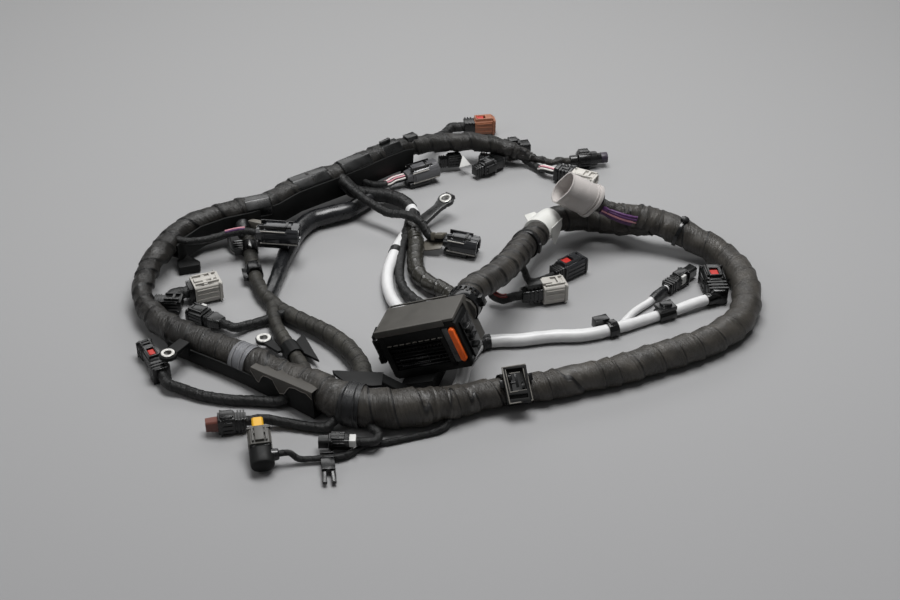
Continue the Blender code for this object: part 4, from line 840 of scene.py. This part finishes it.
lay("convoluted_tube_run", "convoluted_tube", [
    (-36, 92, 9, 17), (-36, 78, 12, 17), (-32, 62, 11, 17), (-31, 43, 9, 17), (-31, 18, 9, 17),
    (-27, -6, 9, 17), (-16, -23, 10, 17), (-1, -39, 12, 17), (9, -60, 15, 17), (12, -85, 19, 17),
] + tail_points(CONVOLUTED_END, 17.0), SHRINK, 17.0, pitch=15.0, rise=0.9, lump=0.5, sides=28)
lay("inner_cable_run", None, [
    (-35, 112, 12, 8), (-36, 98, 16, 9), (-40, 78, 14, 9), (-44, 58, 9, 9), (-46, 36, 7, 9),
    (-47, 12, 7, 9), (-46, -10, 7, 9), (-41, -30, 8, 9), (-31, -50, 11, 9), (-18, -72, 16, 9),
    (-10, -92, 19, 9),
], BRANCH_TAPE, 9.0, **BRANCH)
lay("sleeve_b_cable_run", "sleeve_b_cable", [
    (-2, -221, 16, 12.6), (6, -204, 10, 12.6), (14, -180, 7, 12.6), (21, -145, 6.5, 12.6),
    (34, -119, 6.5, 12.6), (52, -114, 6.5, 12.6), (71, -113, 6.5, 12.6), (102, -107, 6.5, 12.6),
    (133, -105, 6.5, 12.6), (158, -97, 6.5, 12), (181, -86, 6, 11), (206, -73, 6, 10.7),
    (226, -64, 6.5, 10.7),
] + tail_points(BOOT_ENTRY, 10.7), SLEEVE, 10.7, "connector", ["boot_connector_moulding"], lump=0.3,
    sides=24)
lay("sleeve_b_thin_run", "sleeve_b_thin", [
    (168, -94, 7, 7.6), (176, -78, 4.5, 7.6), (187, -62, 4, 7.6), (202, -47, 4, 7.6),
] + tail_points(THIN_END, 7.6), SLEEVE, 7.6, "connector", ["thin_sleeve_connector_moulding"], lump=0.3,
    sides=24)
# Plug cables: node, plug, its place, the tape's and the stated diameter, winding, straight end, route
for node, plug, place, thick, diameter, winding, reach, points in (
        ("brown_cable", "brown_connector", BROWN, 11.0, 11.0, BRANCH, TAIL,
         [(-24, 222, 33), (-20, 240, 28), (-12, 260, 20), (-2, 284, 12)]),
        ("short_branch", "spare_connector", SPARE, 8.0, 8.0, THIN_BRANCH, TAIL,
         [(79, 232, 19), (92, 229, 8), (108, 213, 6)]),
        ("shiny_middle_cable", "shiny_middle", SHINY_MIDDLE, 8.0, 8.0, THIN_BRANCH, TAIL,
         [(-104, 168, 34), (-97, 160, 26), (-82, 159, 18), (-66, 166, 14)]),
        ("shiny_right_cable", "shiny_right", SHINY_RIGHT, 9.0, 9.0, THIN_BRANCH, TAIL,
         [(-118, 152, 35), (-108, 134, 34), (-94, 118, 30), (-80, 106, 26), (-62, 94, 22), (-43, 78, 29),
          (-28, 67, 28)]),
        ("shiny_left_cable", "shiny_left", SHINY_LEFT, 7.5, 7.5, THIN_BRANCH, TAIL,
         [(-283, 32, 31), (-264, 22, 32), (-246, 28, 30), (-225, 35, 32)]),
        ("left_grey_cable", "left_grey_connector", LEFT_GREY, 12.0, 11.0, BRANCH, TAIL,
         [(-284, -92, 15), (-280, -76, 8), (-277, -60, 7)]),
        ("taped_cluster_cable", "taped_cluster_connector", TAPED, 9.0, 9.0, THIN_BRANCH, TAIL,
         [(-156, -74, 11), (-176, -80, 6), (-192, -88, 6)]),
        ("left_loop_cable", "left_loop_connector", LEFT_LOOP, 10.0, 10.0, THIN_BRANCH, TAIL,
         [(-131, -192, 17), (-146, -206, 8), (-170, -204, 5), (-195, -202, 5), (-219, -197, 5),
          (-240, -188, 6)]),
        ("brown_tip_cable", "brown_tip_connector", BROWN_TIP, 9.0, 9.0, THIN_BRANCH, TAIL,
         [(-89, -226, 17), (-104, -242, 7), (-120, -240, 5), (-140, -236, 6)]),
        ("yellow_cable", "yellow_top_connector", YELLOW_ENTRY, 5.5, 5.5, THIN_BRANCH, TAIL,
         [(6, -225, 12), (0, -240, 5), (-24, -250, 3), (-48, -258, 3), (-69, -264, 3), (-86, -278, 4.5),
          (-106, -282, 5), (-125, -284, 5.5)]),
        ("small_dark_cable", "small_dark_connector", SMALL_DARK, 8.0, 8.0, THIN_BRANCH, 9.0,
         [(-71, -226, 16), (-64, -248, 10), (-58, -257, 12), (-60, -266, 11)]),
        ("light_grey_cable", "light_grey_connector", LIGHT_GREY, 9.0, 9.0, THIN_BRANCH, 9.0,
         [(58, -52, 48), (46, -44, 30), (46, -46, 14), (56, -50, 10)]),
        ("red_lock_cable", "red_lock_connector", RED_LOCKED, 7.0, 7.0, THIN_BRANCH, 8.0,
         [(70, -28, 46), (78, -24, 28), (84, -20, 12), (94, -16, 9)])):
    route = [(*point, thick) for point in points] + tail_points(place, thick, reach)
    lay(node + "_run", node, route, BRANCH_TAPE, diameter, "connector", [plug + "_moulding"], **winding)


def strands(name, cord_name, start, end, wires, thick=1.5):
    """Bare wires round a cord between two places on it, each at an angle from its side vector."""
    stretch = stretch_of(cord_name, start, end)
    for number, (finish, angle) in enumerate(wires):
        turn = math.radians(angle)
        offset = [(side * math.cos(turn) + up * math.sin(turn)) * (point.w / 2)
                  for point, (side, up) in zip(stretch, rails(stretch))]
        shifted = [Vector((*(point.xyz + out), thick)) for point, out in zip(stretch, offset)]
        wound(f"{name}_{number + 1}", shifted, finish, sides=8)


def clip(name, cord_name, near, half, shapes):
    """Ring round a cord with shapes built from the radius there."""
    place, radius = on_line(cord_name, near)
    piece(name, place, [hoop(-half, half, 2 * radius + 4.0, 2 * radius - 1.0)] + shapes(radius),
          GLOSS_NYLON)


def dress(name, place, back, body, finish):
    """Collar ribs on a plug's back, long ribs on its sides, a rim round its mouth and latch rails on top."""
    start, end, width, height = back
    pitch = (end - start) / 3
    shapes = [box(start + pitch * k, start + pitch * k + pitch * 0.55, -width / 2 - 0.6, width / 2 + 0.6,
                  -height / 2 - 0.6, height / 2 + 0.6) for k in range(3)]
    piece(name + "_collars", place, shapes, NYLON, edge=0.2)
    shapes = []
    start, end, width, height = body
    side, top = width / 2, height / 2
    for sign in (-1, 1):
        low, high = sorted((sign * (side - 0.5), sign * (side + 0.8)))
        shapes += [box(start + 1.0, end - 4.0, low, high, top * z - 0.5, top * z + 0.6)
                   for z in (-0.5, 0.1, 0.6)]
        shapes.append(box(end - 3.0, end - 1.4, low, high, -top - 0.6, top + 0.6))
        shapes.append(box(start + 1.0, end - 2.0, sign * side * 0.62 - 0.8, sign * side * 0.62 + 0.8,
                          top - 1.0, top + LATCH_RISE))
    for low, high in ((-top - 0.6, -top + 0.5), (top - 0.5, top + 0.6)):
        shapes.append(box(end - 3.0, end - 1.4, -side - 0.6, side + 0.6, low, high))
    shapes.append(box(end - 9.0, end - 6.5, -side * 0.62, side * 0.62, top + LATCH_RISE - 1.4,
                      top + LATCH_RISE))
    piece(name + "_mouldings", place, shapes, finish, edge=0.2)


# Collars, ribs and latches of the plugs
for name, place, back, body, finish in (
        ("brown", BROWN, (1.0, 11.0, 14.0, 16.0), (13.0, 36.5, 13.0, 18.0), TAWNY_PBT),
        ("tabbed", TABBED, (-7.0, 3.0, 11.0, 11.0), (5.0, 19.5, 18.0, 16.0), NYLON),
        ("spare", SPARE, (6.0, 18.0, 15.0, 15.0), (20.0, 47.0, 19.0, 12.0), PALE_PBT),
        ("cluster", CLUSTER, (-5.0, 3.0, 10.0, 10.0), (5.0, 21.5, 14.0, 14.0), SLATE_PBT),
        ("left_grey", LEFT_GREY, (0.5, 4.5, 16.0, 14.0), (6.0, 32.5, 24.0, 20.0), LIGHT_PBT),
        ("taped", TAPED, (12.5, 18.5, 12.0, 9.0), (20.0, 38.5, 16.0, 13.0), NYLON),
        ("left_loop", LEFT_LOOP, (1.0, 13.0, 16.0, 16.0), (39.0, 50.5, 14.0, 15.0), NYLON),
        ("brown_tip", BROWN_TIP, (1.0, 9.0, 13.0, 14.0), (11.0, 24.5, 14.0, 17.0), NYLON),
        ("yellow_top", YELLOW_TOP, (12.5, 13.5, 14.0, 13.0), (15.0, 32.5, 19.0, 17.0), COVER_PBT),
        ("small_dark", SMALL_DARK, (1.0, 5.0, 9.0, 8.0), (7.0, 21.5, 12.0, 11.0), NYLON),
        ("light_grey", LIGHT_GREY, (7.0, 20.0, 14.0, 13.0), (22.0, 45.5, 20.0, 20.0), LIGHT_PBT),
        ("red_locked", RED_LOCKED, (1.0, 9.0, 13.0, 13.0), (11.0, 39.5, 18.0, 16.0), SMOKE_PBT),
        ("thin_end", THIN_END, (1.0, 12.0, 11.0, 11.0), (15.0, 31.5, 13.0, 14.0), NYLON),
        ("boot", BOOT, (3.0, 19.0, 18.0, 18.0), (23.0, 45.2, 22.0, 19.0), NYLON)):
    dress(name, place, back, body, finish)
piece("yellow_top_elbow", YELLOW_TOP @ spin(90.0, "X"),
      [turned([(-6.0, 12.0), (-4.6, 16.6), (-2.4, 18.0), (10.6, 18.0), (12.6, 15.0)], spread=3.0)],
      MATT_NYLON)
piece("yellow_top_inlet", YELLOW_ENTRY, [turned([(-7.0, 8.0), (-6.0, 10.0), (-1.0, 11.0), (4.0, 13.0)])],
      GLOSS_NYLON)
piece("light_grey_latch", LIGHT_GREY,
      [box(20.6, 30.4, -4.4, 4.4, 9.0, 13.0), box(24.0, 28.0, -6.0, 6.0, 9.0, 11.4)], LIGHT_PBT)
piece("light_grey_lever", LIGHT_GREY, [box(5.4, 20.8, -4.4, 4.4, 7.0, 13.0)], NYLON)
grown("round_plug_ribs", RING, {"Count": 14, "Radius": 10.2, "Bar": (1.4, 1.6, 12.0), "Finish": NYLON},
      at(ROUND, 16.0) @ UPRIGHT)
piece("round_plug_tip", ROUND, [hoop(36.0, 43.4, 12.2, 8.6)], VIOLET_PBT)

# Blocks slung under the glossy plugs, pale strips along their edges as painted highlights, and their mouths
GLOSSY_PLUGS = (("shiny_middle", SHINY_MIDDLE, 38.0, 18.0), ("shiny_right", SHINY_RIGHT, 36.0, 18.0),
                ("shiny_left", SHINY_LEFT, 44.0, 20.0))
for name, place, length, height in GLOSSY_PLUGS:
    low = -height / 2
    piece(name + "_block", place, [box(1.5, length - 10.0, -8.6, 8.6, low - 2.6, low + 2.4),
                                   box(3.0, length - 14.0, -9.2, 9.2, low - 1.6, low + 0.6)], NYLON)
    # painted highlights: pale strips where the glossy bodies would reflect the light
    piece(name + "_edges", place, [box(5.0, length - 0.6, y, y + 1.0, low + 3.0, low + 4.2)
                                   for y in (-10.4, 9.4)]
          + [box(5.0, length - 13.0, y, y + 1.0, height / 2 - 3.0, height / 2 - 2.0) for y in (-10.0, 9.0)],
          LIGHT_PBT, edge=0.2)
    piece(name + "_mouth", place, [box(length - 8.0, length - 3.0, y, y + 3.4, -2.0, 2.0)
                                   for y in (-4.0, 0.6)], TERMINAL, edge=0.2)
    piece(name + "_latch", place, [box(4.0, length - 7.0, y, y + 1.6, height / 2 - 2.5, height / 2 + 2.2)
                                   for y in (-6.4, 4.8)]
          + [box(length - 14.0, length - 11.0, -6.4, 6.4, height / 2 + 0.6, height / 2 + 2.2)], GLOSS_NYLON)

# Tape bands, cuffs and ribbed ends on the cords
band("grey_tape_band", "trunk", (-193, -152, 16), (-178, -162, 16), GREY_TAPE, 1.9, rise=0.5, sides=44)
band("sleeve_a_wrap", "sleeve_a_cable_run", (-122, 150, 37), (-38, 124, 8), BRANCH_TAPE, 0.6, rise=0.5,
     lump=0.4)
band("sleeve_a_black_end", "sleeve_a_cable_run", (-34, 108, 7), (-37, 90, 7), BAND_TAPE, 0.7)
band("sleeve_a_band", "sleeve_a_cable_run", (-51, 45, 7), (-53, 37, 7), BAND_TAPE, 0.7)
band("sleeve_b_cuff", "sleeve_b_cable_run", (30, -122, 6.5), (43, -115, 6.5), BAND_TAPE, 1.0)
band("thin_sleeve_end", "sleeve_b_thin_run", (206, -43, 5), (219, -30, 8), BAND_TAPE, 0.6)
band("leg_strap", "trunk", (-88, -223, 18), (-72, -226, 18), BAND_TAPE, 2.2, rise=0.5, sides=44)
band("rail_strap", "middle_branch_run", (-214, 72, 30), (-209, 56, 18), BAND_TAPE, 1.0)
ribbed = [point for point in LINES["sleeve_a_cable_run"] if 98.0 < point.y < 113.0 and point.x > -60.0]
grown("sleeve_a_ribs", ON_PATH, {"Step": 2.6, "Thickness": 0.14, "Finish": CORRUGATED}, path=ribbed)

# Label wound round the control unit's trunk, with a corner off its left and an end hanging on its right
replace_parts(band("label_wrap", "unit_trunk", (93, 30, 37), (109, 59, 31), LABEL, 1.5, pitch=0.0, sides=40),
            "label_flag")
LABEL_PLACE, label_radius = on_line("unit_trunk", (101, 46, 34))
piece("label_end", at(LABEL_PLACE, 0.0, -label_radius - 1.6, 0.0) @ spin(90.0, "X"),
      [plate([(-13.0, 7.0), (13.0, 9.0), (11.0, -6.0), (2.0, -17.0), (-9.0, -8.0)], 0.0, 0.6)], LABEL,
      edge=0)
piece("label_corner", at(LABEL_PLACE, 0.0, label_radius - 2.0, 5.0) @ spin(24.0, "X"),
      [plate([(-15.0, -4.0), (13.0, -6.0), (12.0, 6.0), (-5.0, 10.0)], 0.0, 0.6)], LABEL, edge=0)

# Torn tape pulled over the protector's wall: (share of the wall's length, hanging length)
WALL_TOP = [(-176.8, -182.9, 27.6), (-163.1, -192.7, 27.9), (-139.8, -209.3, 29.9), (-117.5, -226.1, 31.7)]
TORN_EDGE = [(0.0, 3.0), (0.08, 8.0), (0.14, 12.0), (0.19, 13.0), (0.25, 7.0), (0.31, 3.0), (0.38, 2.4),
             (0.45, 3.2), (0.49, 10.0), (0.54, 16.0), (0.6, 14.5), (0.64, 9.0), (0.68, 4.4), (0.76, 2.6),
             (0.85, 3.4), (0.92, 2.8), (1.0, 7.0)]
FLAP_REACH = 13.0
FLAP_THICK = 0.7


def torn_flap(name, finish, rim=False):
    """Strip of tape over the wall's top edge, or only the torn rim of it."""
    wall = [Vector(point) for point in WALL_TOP]
    ahead = (wall[-1] - wall[0]).normalized()
    outward = Vector((ahead.y, -ahead.x, 0.0)).normalized()
    down = Vector((0.0, 0.0, -1.0))
    points = []
    for share, drop in TORN_EDGE:
        spot = share * (len(wall) - 1)
        row = min(int(spot), len(wall) - 2)
        top = wall[row].lerp(wall[row + 1], spot - row) + outward * 0.5 - down * 0.6
        bends = [top - outward * FLAP_REACH, top, top + outward * 0.6 + down * 1.0,
                 top + outward * 0.8 + down * drop]
        if rim:
            bends = [bends[3] - down * 0.7 + outward * 0.1, bends[3] + down * 0.2 + outward * 0.1]
        inset = (outward * -0.7 + down * 0.7) * FLAP_THICK
        points += bends + [point + inset for point in reversed(bends)]
    faces = skin(len(TORN_EDGE), len(points) // len(TORN_EDGE))
    piece(name, Matrix.Identity(4), [(points, faces)], finish, edge=0)


torn_flap("torn_tape", TORN_TAPE)
torn_flap("torn_tape_rim", FRAYED_TAPE, rim=True)

# White tape flags and wraps
piece("taped_plug_wrap", TAPED, [box(24.0, 30.0, -9.2, 2.0, -3.0, 8.0)], WHITE_TAPE, edge=1.0)
piece("small_plug_wrap", SMALL_DARK, [box(-2.0, 4.0, -3.0, 6.6, -1.0, 6.4)], WHITE_TAPE, edge=1.0)
piece("thin_plug_wrap", THIN_END, [box(17.0, 24.0, -7.4, 3.0, -2.0, 8.0)], WHITE_TAPE, edge=1.0)
piece("back_flag", stand((20.0, 214.0, 15.0), 20.0, 0.0, 40.0),
      [plate([(-7.0, -6.0), (7.0, -5.0), (1.0, 8.0)], 0.0, 0.6)], WHITE_TAPE, edge=0.1)

# Bare wires at the plugs' backs
strands("middle_wires", "shiny_middle_cable_run", (-66, 166, 14), (-46, 183, 13),
        [(PINK_WIRE, 60), (WHITE_WIRE, 100), (PINK_WIRE, 140), (WHITE_WIRE, 20), (BLACK_WIRE, 180)], 2.0)
strands("spare_wires", "short_branch_run", (108, 213, 6), (123, 201, 10),
        [(PINK_WIRE, 60), (WHITE_WIRE, 100), (PINK_WIRE, 140), (WHITE_WIRE, 20), (PINK_WIRE, 180)], 2.2)
strands("left_wires", "shiny_left_cable_run", (-226, 35, 32), (-206, 36, 34),
        [(PURPLE_WIRE, 70), (PINK_WIRE, 110), (BLACK_WIRE, 150)], 1.8)
strands("grey_plug_wires", "light_grey_cable_run", (46, -44, 24), (62, -50, 10),
        [(RED_WIRE, 70), (RED_WIRE, 110), (BLACK_WIRE, 150), (RED_WIRE, 30)], 2.0)
strands("shell_wires", "trunk", (160, 61, 50), (196, 61, 38),
        [(PURPLE_WIRE, -40), (PURPLE_WIRE, -26), (PINK_WIRE, -12), (PURPLE_WIRE, 2), (PURPLE_WIRE, 16)],
        3.2)

# Cable tie on the trunk's back right run
TIE, tie_radius = on_line("trunk", (243, 53, 26))
piece("cable_tie", TIE, [hoop(-2.0, 2.0, 2 * tie_radius + 3.2, 2 * tie_radius - 1.0)], GLOSS_NYLON)
piece("cable_tie_head", at(TIE, 0.0, 0.0, tie_radius + 4.0) @ UPRIGHT, [turned([(0.0, 9.0), (4.0, 9.0)])],
      GLOSS_NYLON)

# Clips on the middle branch, and the small tabs on the trunk's top
clip("branch_clip_high", "middle_branch_run", (-205, 44, 8), 6.0,
     lambda r: [box(-6.0, 6.0, -r - 9.0, -r, -2.0, 8.0)]
     + [box(-5.0 + 3 * k, -3.6 + 3 * k, -r - 10.0, -r, 7.0, 9.4) for k in range(4)])
clip("branch_clip_low", "middle_branch_run", (-195, 2, 7), 7.0,
     lambda r: [box(-7.0, 7.0, -5.0, 5.0, r, r + 3.2), box(-4.0, 14.0, -r - 5.0, -r, 0.0, 4.0)])
clip("unit_trunk_clip", "unit_trunk", (80, 0, 42), 4.0, lambda r: [box(-3.0, 3.0, -r - 3.0, -r, -6.0, 4.0)])
piece("trunk_fin", stand((-68.0, 197.0, 48.0), 45.0),
      [box(-7.0, 7.0, -1.6, 1.6, -3.0, 4.6), box(-3.0, 3.0, -4.0, 4.0, -4.0, 0.0)], NYLON)
piece("trunk_tab", stand((-40.0, 215.0, 45.0), 38.0), [box(-7.0, 7.0, -5.0, 5.0, -4.0, 4.0)], NYLON,
      edge=0.8)

# Angular cover parts of the rail that show through the tape of the back left run
for name, spot, half in (("rail_cover_low", (-199, 84, 35), 15.0),
                         ("rail_cover_left", (-148, 129, 37), 23.0),
                         ("rail_cover_middle", (-101, 165, 37), 20.0),
                         ("rail_cover_right", (-64, 198, 37), 14.0)):
    cover_place, cover_radius = on_line("trunk", spot)
    narrow = 2 * cover_radius - 1.0
    wide = 2 * cover_radius + 3.2
    piece(name, cover_place, [turned([(-half, narrow), (1.5 - half, wide), (half - 1.5, wide),
                                      (half, narrow)], sides=8)], NYLON, edge=0.8)

# Small plugs that lie under the trunk's back run and inside its left run
for name, place, length, width, height, finish in (
        ("back_plug_left", stand((-8.0, 219.0, 12.0), 14.0), 26.0, 12.0, 12.0, NYLON),
        ("back_plug_low", stand((38.0, 234.0, 9.0), -16.0), 30.0, 13.0, 11.0, SLATE_PBT),
        ("inner_dark_plug", stand((-286.0, -60.0, 14.0), -2.0), 28.0, 15.0, 11.0, NYLON)):
    piece(name, place, [box(0.0, length * 0.35, -width * 0.4, width * 0.4, -height * 0.4, height * 0.4),
                        box(length * 0.35, length, -width / 2, width / 2, -height / 2, height / 2)], finish,
          edge=0.8)
    dress(name, place, (1.0, length * 0.3, width * 0.8, height * 0.8),
          (length * 0.37, length, width, height), NYLON)

# Flag of tape and a twisted tab behind the glossy plug, and a pale bracket under the rail
piece("olive_flag", stand((-15.0, 49.0, 9.0), -25.0, 8.0, 20.0),
      [plate([(-14.0, -6.0), (-2.0, -8.0), (13.0, -3.0), (12.0, 5.0), (-6.0, 9.0)], 0.0, 1.6)], OLIVE_PBT)
piece("olive_tab", stand((-6.0, 55.0, 18.0), -20.0, 10.0, 70.0),
      [box(-5.0, 6.0, -2.2, 2.2, -6.0, 8.0), box(-7.0, -3.0, -4.0, 4.0, 4.0, 9.0)], OLIVE_PBT, edge=0.8)
piece("rail_bracket", stand((-197.0, 64.0, 26.0), -20.0),
      [box(-9.0, 9.0, -3.0, 3.0, -6.0, 4.0), box(2.0, 8.0, -8.0, 3.0, -2.0, 2.0)], STONE_PBT, edge=0.8)
lay("arched_lead", None, [(-232, 72, 26, 4), (-228, 62, 14, 4), (-224, 50, 6, 4), (-216, 44, 4, 4),
                          (-209, 46, 6, 4)], BRANCH_TAPE, 4.0)

# Sleeve end fitting at the control unit plug, with its dark notches
piece("sleeve_a_fitting", SLEEVE_A_END,
      [hoop(-20.0, -3.0, 14.6, 11.0), box(-9.0, -3.0, -6.0, 6.0, 4.0, 8.6)], SLEEVE)
piece("sleeve_a_notches", SLEEVE_A_END,
      [box(-13.0, -10.0, -2.0, 2.0, 5.8, 7.8), box(-9.6, -7.6, 2.5, 5.0, 7.6, 9.0)], NYLON)

# Barrels of the glossy plugs
for name, place, length, _ in GLOSSY_PLUGS:
    piece(name + "_barrel", place @ spin(90.0, "X"),
          [hoop(8.0, length + 0.4, 18.4, 14.0, spread=3.6), hoop(8.0, 10.0, 19.4, 14.0, spread=3.6)],
          ASH_PBT if name == "shiny_middle" else SMOKE_PBT)

# Bright ring in the guard's lug
GUARD = on_line("second_leg_run", (-145, -132, 7))[0]
piece("guard_eyelet", GUARD @ Matrix.Translation((-31.0, -17.0, 0.0)) @ UPRIGHT,
      [hoop(-2.4, 2.4, 14.0, 7.6)], PLATED)

# Pale strips along the edges of the frame clip's plate, painted highlights
CLIP_PLATE, clip_radius = on_line("trunk", (62, -199, 14))
CLIP_PLATE = CLIP_PLATE @ spin(-38.0, "X")
clip_top = clip_radius + 1.8 + 5.0
CLIP_HIGHLIGHT_STRIPS = [
    (-11.2, -10.2, -17.2, 17.2, -0.8, 0.25), (10.2, 11.2, -17.2, 17.2, -0.8, 0.25),
    (-11.0, 11.0, -17.3, -16.4, -0.8, 0.25), (-11.0, 11.0, 16.4, 17.3, -0.8, 0.25),
    (-8.6, 8.6, 6.2, 7.0, -0.8, 0.2), (-8.6, -7.9, -14.6, 6.0, -0.8, 0.2),
    (7.9, 8.6, -14.6, 6.0, -0.8, 0.2), (-4.9, 4.9, -11.0, -10.2, -2.0, -0.8),
]
piece("frame_clip_edges", CLIP_PLATE, [box(*sides, clip_top + low, clip_top + high)
                                       for *sides, low, high in CLIP_HIGHLIGHT_STRIPS], STONE_PBT, edge=0.15)
CLIP_TONGUE = [
    (-1.3, 1.3, -9.5, 3.0, -2.4, -0.6), (-5.6, 5.6, -2.4, -0.6, -2.4, -0.8),
    (-6.6, -3.4, 0.8, 4.4, -2.4, -0.9), (3.4, 6.6, -9.0, -4.6, -2.4, -0.9),
]
piece("frame_clip_tongue", CLIP_PLATE, [box(*sides, clip_top + low, clip_top + high)
                                        for *sides, low, high in CLIP_TONGUE], NYLON, edge=0.2)
piece("frame_clip_straps", CLIP_PLATE,
      [box(-16.0, -10.5, -9.0, -2.0, clip_top - 5.0, clip_top - 2.6),
       box(10.5, 15.0, -6.0, 1.0, clip_top - 5.0, clip_top - 2.6)], GLOSS_NYLON)

# Floor, light and camera
bpy.ops.mesh.primitive_plane_add(size=FLOOR_SIZE)
floor = bpy.context.object
floor.name = "studio_floor"
made, tree, shader = blank("paper backdrop, grey", 0.85)
place = add(tree, "ShaderNodeTexCoord").outputs["Object"]
parts = add(tree, "ShaderNodeSeparateXYZ", {}, {"Vector": place})
# painted light falloff: the floor is painted darker towards the front and paler towards the back
painted_falloff = remap(tree, parts.outputs["Y"], -0.6, 1.1)
tone = add(tree, "ShaderNodeMix", {"data_type": "RGBA", 6: linear("8b8b8c"), 7: linear("949494")},
           {"Factor": painted_falloff})
tree.links.new(tone.outputs[2], shader.inputs["Base Color"])
floor.data.materials.append(made)

world = bpy.context.scene.world or bpy.data.worlds.new("studio")
bpy.context.scene.world = world
world.use_nodes = True
sky = world.node_tree.nodes["Background"]
sky.inputs["Color"].default_value = linear("e9e9ea")
sky.inputs["Strength"].default_value = SKY_STRENGTH


def softbox(name, spot, aim, size, power):
    """Square area lamp that faces a point."""
    lamp = bpy.data.lights.new(name, "AREA")
    lamp.shape = "RECTANGLE"
    lamp.size, lamp.size_y = size
    lamp.energy = power
    obj = bpy.data.objects.new(name, lamp)
    obj.location = spot
    obj.rotation_euler = (Vector(aim) - Vector(spot)).to_track_quat("-Z", "Y").to_euler()
    bpy.context.scene.collection.objects.link(obj)


softbox("overhead_softbox", (0.1, 0.15, 1.6), (0.0, 0.0, 0.0), (1.2, 0.7), 35.5)
softbox("back_softbox", (0.0, 1.8, 1.25), (0.0, 0.0, 0.05), (2.4, 0.7), 13.0)
softbox("left_softbox", (-1.4, -0.5, 1.1), (0.0, 0.0, 0.0), (0.8, 0.8), 4.0)

lens = bpy.data.cameras.new("camera")
lens.lens = LENS
lens.sensor_width = 36.0
lens.clip_start = 0.01
camera = bpy.data.objects.new("camera", lens)
tilt = math.radians(ELEVATION)
camera.location = AIM + Vector((0.0, -math.cos(tilt), math.sin(tilt))) * DISTANCE
camera.rotation_euler = (math.radians(90.0) - tilt, 0.0, 0.0)
bpy.context.scene.collection.objects.link(camera)
bpy.context.scene.camera = camera
bpy.context.scene.view_settings.view_transform = "Standard"
